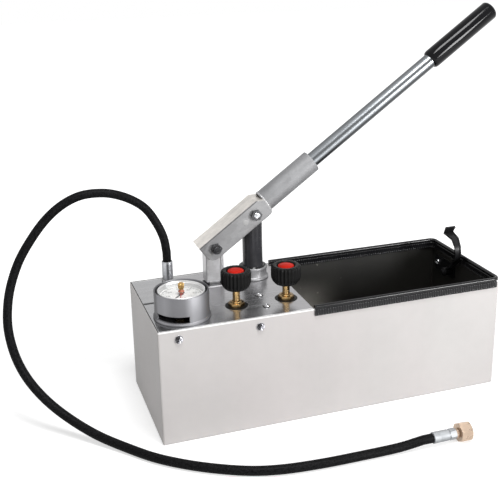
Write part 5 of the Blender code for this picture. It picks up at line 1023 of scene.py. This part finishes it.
def make_weld():
    """The rippled weld bead where the socket meets the channel's end."""
    bm = bmesh.new()
    line = at(*PIVOT, LEVER_WAY)
    middle = reach_of("lever_channel", LEVER_WAY)[1] - 0.2
    around, across, ring = 180, 8, 14.4
    rows = []
    for index in range(around):
        angle = tau * index / around
        ripple = 0.15 * sin(30 * angle) + 0.10 * sin(17 * angle + 1)
        row = []
        for turn in range(across):
            bend = tau * turn / across
            reach = ring + (1.35 + ripple) * cos(bend)
            row.append(bm.verts.new(line @ Vector((
                reach * cos(angle), reach * sin(angle), middle + (1.5 + ripple) * sin(bend)))))
        rows.append(row)
    for row, after in zip(rows, rows[1:] + rows[:1]):
        bridge(bm, row, after)
    piece("weld_bead", bm, WELD_METAL, "galvanised", "lever")


def make_dimple():
    """The round spot weld on the channel's near side."""
    x, face, z = -82.6, box_mm("lever_channel")[0].y, 232.5
    dot = [(0, 0.22), (2.6, 0.26), (3.6, 0.18), (4.0, 0), (4.0, -0.3), (0, -0.3)]
    turned("channel_spot", dot, 48, at(x, face, z, (0, -1, 0)), SPOT_METAL, "galvanised", "lever",
           sharp=60)


def make_bolt_end():
    """The turned end of the plunger's bolt, with a ring cut in its face."""
    low, high = box_mm("piston_bolt")
    radius = 4.0
    profile = [
        (0, -0.4), (radius, -0.4), (radius, 0.1), (radius - 0.5, 0.5), (radius - 1.5, 0.6),
        (radius - 1.8, 0.25), (radius - 2.2, 0.25), (radius - 2.5, 0.65), (0, 0.7),
    ]
    turned("piston_bolt_end", profile, 64, at((low.x + high.x) / 2, low.y, (low.z + high.z) / 2, (0, -1, 0)),
           BRIGHT_STEEL, "plain_steel", "lever", sharp=50)


# Hose ends
def make_outlet():
    """Hexagon and crimped ferrule where the hose leaves the cover."""
    x, y, low, high = stand("hose_fitting")
    flats, thread, tail = 15.0, 5.0, 3.5
    foot = PLATE_TOP + RIM_GAP
    shoulder = foot + 6.2
    profile = [(0, low), (thread, low), (thread, foot), *hex_profile(flats, foot, shoulder, 1.0),
               (tail, shoulder), (tail, high), (0, high)]
    turned("outlet_hexagon", profile, 96, at(x, y), SPOT_METAL, "plain_steel",
           radius_at=hexed(flats), sharp=30, replaces="hose_fitting")
    _, _, low, high = stand("hose_ferrule")
    bore, mouth, outer = 3.8, 5.9, 7.15
    waist = low + 3.2
    profile = raised(low, (bore, 0), (outer - 0.5, 0), (outer - 0.2, 0.5))
    profile += raised(waist, (outer - 0.2, 0), (outer, 1.0))
    for ring in range(3):
        profile += raised(waist + 5.2 + 4.6 * ring, (outer, 0), (outer - 0.04, 0.5), (outer - 0.04, 1.1),
                          (outer, 1.6))
    profile += raised(high, (outer, -0.7), (outer - 0.5, 0), (mouth, 0), (mouth, -2.0), (bore, -2.0))
    turned("outlet_ferrule", profile, 96, at(x, y), OUTLET_CHROME, "plain_steel",
           replaces="hose_ferrule")


def free_end_line(turn=0.0):
    """The line of the hose's free end. A distance along it is an x."""
    return at(0, HOSE_END.y / MM, HOSE_END.z / MM, ALONG_X, turn)


def make_free_end():
    """Crimped ferrule and bead ring at the hose's free end."""
    start, end = (corner.x for corner in box_mm("hose_end_ferrule"))
    outer, flats, bore = 6.9, 12.2, 4.8
    profile = raised(start, (0, 0), (6.2, 0), (outer, 0.4), (outer, 7.6), (outer - 0.35, 8.2),
                     (outer - 0.35, 8.8), (outer - 0.15, 9.2), (outer - 0.15, 20.0), (outer - 0.9, 20.8),
                     (outer - 0.9, 21.6))
    profile += [*hex_profile(flats, start + 22.0, end, 0.6), (bore, end), (0, end)]
    turned("end_ferrule", profile, 96, free_end_line(), END_CHROME, "chrome",
           radius_at=hexed(flats, start + 21.8), sharp=32, replaces="hose_end_ferrule")
    bm = bmesh.new()
    beads, ring = 14, 5.0
    for index in range(beads):
        angle = tau * index / beads
        spot = free_end_line() @ Vector((ring * cos(angle), ring * sin(angle), end + 2.9))
        bmesh.ops.create_uvsphere(bm, u_segments=14, v_segments=10, radius=1.02,
                                  matrix=Matrix.Translation(spot))
    piece("bead_ring", bm, PALE_BRASS, "pale_brass")


def make_union():
    """The union nut: chamfered hexagon with a real thread in its bore."""
    start, end = (corner.x for corner in box_mm("union_nut"))
    flats, bore = 21.4, 4.9
    crest, root, pitch = 8.3, 8.75, 1.25
    profile = [(bore, start), *hex_profile(flats, start, end, 2.0, 7), (root + 0.6, end), (root, end - 0.6)]
    place = end - 0.6
    while place - pitch > start + 3.2:
        profile += [(crest, place - 0.45 * pitch), (crest, place - 0.60 * pitch), (root, place - pitch)]
        place -= pitch
    profile += [(root, start + 3.0), (bore, start + 3.0)]
    turned("union", profile, 144, free_end_line(pi / 6), PALE_BRASS, "pale_brass", "union",
           radius_at=hexed(flats), sharp=30, replaces="union_nut")


# Trim
def make_trim():
    """The rubber trim: its profile swept round the free rim, with fine ribs on its flanks."""
    low, high = box_mm("rim_trim")
    foot, top, start_x = low.z, high.z, low.x
    bend, pitch, rib, bead, corner_steps = 8.5, 3.4, 0.8, 2.65, 12
    spacing = pitch / 6
    roll = [radians(angle) for angle in range(-30, 211, 20)]
    rim = TANK_FAR.z + RIM_GAP
    outside, inside = 1.8, -3.3
    profile = [
        *raised(foot, (0.3, 0), (1.4, 0), (outside, 0.5), (outside, 1.3), (outside, 7.2), (1.5, 7.8),
                (1.0, 8.4)),
        *[(-0.75 + bead * cos(angle), top - bead + bead * sin(angle)) for angle in roll],
        *raised(foot, (-2.5, 8.4), (-3.0, 7.8), (inside, 7.2), (inside, 1.3), (inside, 0.5), (-2.9, 0),
                (-1.8, 0)),
        (-1.8, rim), (0.3, rim),
    ]
    rows = []
    bm = bmesh.new()

    def station(point, out, distance):
        """One section, square to the rim, with its flanks drawn in where a rib ends."""
        depth = rib * (0.5 - 0.5 * cos(tau * distance / pitch))
        row = []
        for offset, height in profile:
            if foot + 1.0 < height < foot + 7.4 and offset in (outside, inside):
                offset += depth if offset < 0 else -depth
            row.append(bm.verts.new((*(point + out * offset), height)))
        rows.append(row)

    def outward(degrees):
        return Vector((cos(radians(degrees)), sin(radians(degrees))))

    long_side, short_side = TANK_FAR.x - bend - start_x, 2 * (TANK_FAR.y - bend)
    arc = bend * pi / 2
    point, done = Vector((start_x, -TANK_FAR.y)), 0.0
    for side, length in enumerate((long_side, short_side, long_side)):
        out = outward(90 * side - 90)
        along = Vector((-out.y, out.x))
        for index in range(min(side, 1), round(length / spacing)):
            station(point + along * index * spacing, out, done + index * spacing)
        point, done = point + along * length, done + length
        if side == 2:
            station(point, out, done)
            continue
        middle = point - out * bend
        for index in range(corner_steps + 1):
            out = outward(90 * side - 90 + 90 * index / corner_steps)
            station(middle + out * bend, out, done + arc * index / corner_steps)
        point, done = middle + out * bend, done + arc
    swept(bm, rows)
    piece("trim", bm, SOFT_BLACK, "trim_rubber", sharp=50, replaces="rim_trim")


# Screws and hook
def pan_screw(name, place, radius, height, material):
    """A pan-head screw with a cross recess."""
    depth, cross = 0.7 * height, 0.62 * radius
    profile = [
        (0, height - depth), (cross * 0.55, height - depth), (cross, height * 0.88),
        (cross + 0.06 * radius, height), (radius * 0.72, height * 0.97), (radius * 0.9, height * 0.78),
        (radius, height * 0.4), (radius, 0), (0, 0),
    ]

    def recess(reach, level, angle):
        star = abs(cos(2 * angle)) ** 1.6
        return reach if reach > cross * 1.05 else reach * (0.42 + 0.58 * star)

    turned(name, profile, 64, place, material, "plain_steel", radius_at=recess, sharp=32)


def make_screws():
    """The cover's side screws, the body's screws and the bracket's screw."""
    level, thick = PLATE_TOP - 12.0, 0.7
    washer = [(0, 0), (5.4, 0), (5.4, 0.45), (5.1, thick), (0, thick)]
    for index, x in enumerate((-204.5, -103.0)):
        for side, sign in (("front", -1), ("back", 1)):
            place = at(x, sign * TANK_FAR.y, level, (0, sign, 0), turn=0.5 + index)
            turned(f"cover_washer_{side}_{index}", washer, 64, place, PLAIN_STEEL, "plain_steel")
            # The screw heads carry painted reflections round their axes.
            chrome = banded(f"screw_{side}_{index}", (x * MM, 0, level * MM), "facing", (0.8, 0.8, 0.85),
                            SCREW_REFLECTIONS, 0.14)
            lifted = place @ Matrix.Translation((0, 0, thick))
            pan_screw(f"cover_screw_{side}_{index}", lifted, 4.8, 2.6, chrome)
    ring = [(3.0, -0.2), (4.9, -0.2), (4.9, 0.25), (3.0, 0.25)]
    for index, (x, y) in enumerate(((-82.4, -20.3), (-85.2, -55.5))):
        place = at(x, y, PLATE_TOP, turn=0.4 + 0.5 * index)
        turned(f"body_screw_seat_{index}", ring, 48, place, BLACK_STEEL, "black_steel")
        pan_screw(f"body_screw_{index}", place, 3.9, 2.2, PLAIN_STEEL)
    face = box_mm("hook_bracket")[0].x
    pan_screw("bracket_screw", at(face, 64.0, 124.0, (-1, 0, 0), turn=0.3), 4.2, 2.2, BRIGHT_STEEL)


# The hook's side view, as (share of its lean, share of its height)
HOOK_PATH = (
    (-0.118, 0.0437), (-0.6545, 0.2430), (-0.9455, 0.4124), (-1, 0.5449), (-0.9455, 0.6701),
    (-0.6364, 0.8115), (0.0909, 0.8586), (-0.1018, 1),
)


def make_hook():
    """The hook's pressed strip, with raised edges and a wider head, round its eye."""
    x = stand("latch_hook")[0]
    _, y, low, high = stand("hook_pin")
    pivot = Vector((x, y, (low + high) / 2))
    lean, height, head = 27.5, 67.9, 4.4
    eye_half, half, thick, rim, dip = 5.6, 4.6, 3.0, 1.8, 0.9
    points = [Vector((share_y * lean, share_z * height)) for share_y, share_z in HOOK_PATH]
    bm = bmesh.new()
    rows = []
    for index, point in enumerate(points):
        before, after = points[max(index - 1, 0)], points[min(index + 1, len(points) - 1)]
        run = (after - before).normalized()
        side = Vector((run.y, -run.x))
        wider = head if index >= 6 else 1.4 if index == 5 else 0
        near, far = -half - wider * 0.35, half + wider
        face, floor = thick / 2, thick / 2 - dip
        section = [(near, -face), (far, -face), (far, face), (far - rim, face), (far - rim - dip, floor),
                   (rim + dip - half, floor), (rim - half, face), (near, face)]
        rows.append([
            bm.verts.new(pivot + Vector((across, *(point - side * depth)))) for across, depth in section])
    swept(bm, rows)
    bmesh.ops.bevel(bm, geom=[edge for edge in bm.edges if edge.calc_face_angle(0) > radians(50)],
                    offset=0.35, segments=2, profile=0.5, affect="EDGES")
    eye = rounded([(2.6, -eye_half), (6.2, -eye_half), (6.2, eye_half), (2.6, eye_half)], 0.5)
    lathe(eye, 48, at(*pivot, ALONG_X), bm=bm)
    piece("hook_strip", bm, BLACK_STEEL, "black_steel", "hook", sharp=40, replaces="latch_hook")


# Studio
def make_floor():
    """A pale floor that keeps the object's shadow and looks white far out."""
    bm = bmesh.new()
    bmesh.ops.create_grid(bm, x_segments=1, y_segments=1, size=6)
    mesh = bpy.data.meshes.new("floor")
    bm.to_mesh(mesh)
    bm.free()
    floor = bpy.data.objects.new("floor", mesh)
    SCENE.collection.objects.link(floor)
    floor.location = (0, 0, -0.2 * MM)
    material = bpy.data.materials.new("floor")
    material.use_nodes = True
    wires = Wiring(material.node_tree)
    matt = wires.feed("ShaderNodeBsdfDiffuse", {"Color": (0.58, 0.58, 0.58, 1)})
    seen = wires.seen_by("Is Camera Ray", "Is Glossy Ray")
    place = wires.feed("ShaderNodeTexCoord", {}, "Object")
    away = wires.feed("ShaderNodeVectorMath", {0: place}, "Value", operation="LENGTH")
    lift = wires.product(seen, wires.spread(away, 0.62, 1.0, (0.35, 0.75)))
    glow = wires.feed("ShaderNodeEmission", {"Strength": lift})
    wires.show("ShaderNodeOutputMaterial", wires.feed("ShaderNodeAddShader", {0: matt, 1: glow}))
    mesh.materials.append(material)


def make_world():
    """A plain pale light all round, white where it is seen."""
    world = bpy.data.worlds.new("studio")
    SCENE.world = world
    world.use_nodes = True
    wires = Wiring(world.node_tree)
    seen = wires.seen_by("Is Camera Ray", "Is Glossy Ray", "Is Transmission Ray")
    inputs = {"Color": (1, 1, 1, 1), "Strength": wires.spread(seen, 0.25, 1.0, (0, 1))}
    wires.show("ShaderNodeOutputWorld", wires.feed("ShaderNodeBackground", inputs))


def make_lamp(name, place, size, power):
    """A soft square lamp, aimed at the tank."""
    data = bpy.data.lights.new(name, "AREA")
    data.shape = "RECTANGLE"
    data.size = size
    data.size_y = size
    data.energy = power
    lamp = bpy.data.objects.new(name, data)
    SCENE.collection.objects.link(lamp)
    lamp.location = place
    lamp.rotation_euler = (Vector((0, 0, 0.1)) - Vector(place)).to_track_quat("-Z", "Y").to_euler()


make_camera()
make_hose()
make_floor()
make_world()
make_lamp("key", (1.25, -2.0, 0.68), 0.66, 46)
make_lamp("top", (-0.02, -0.87, 2.30), 0.70, 36)
dress_nodes()
make_sheets()
make_valve("release")
make_valve("pressure")
make_guard()
make_bezel()
make_dial_print()
make_marker_knob()
make_gland()
make_handle()
make_weld()
make_dimple()
make_outlet()
make_free_end()
make_union()
make_trim()
make_screws()
make_plate_details()
make_hook()
make_bolt_end()
soften(0.35, "lever_post", "hook_bracket")
soften(0.25, "piston_nut", "pivot_nut", "pivot_bolt", "piston_bolt")

SCENE.view_settings.view_transform = "Standard"
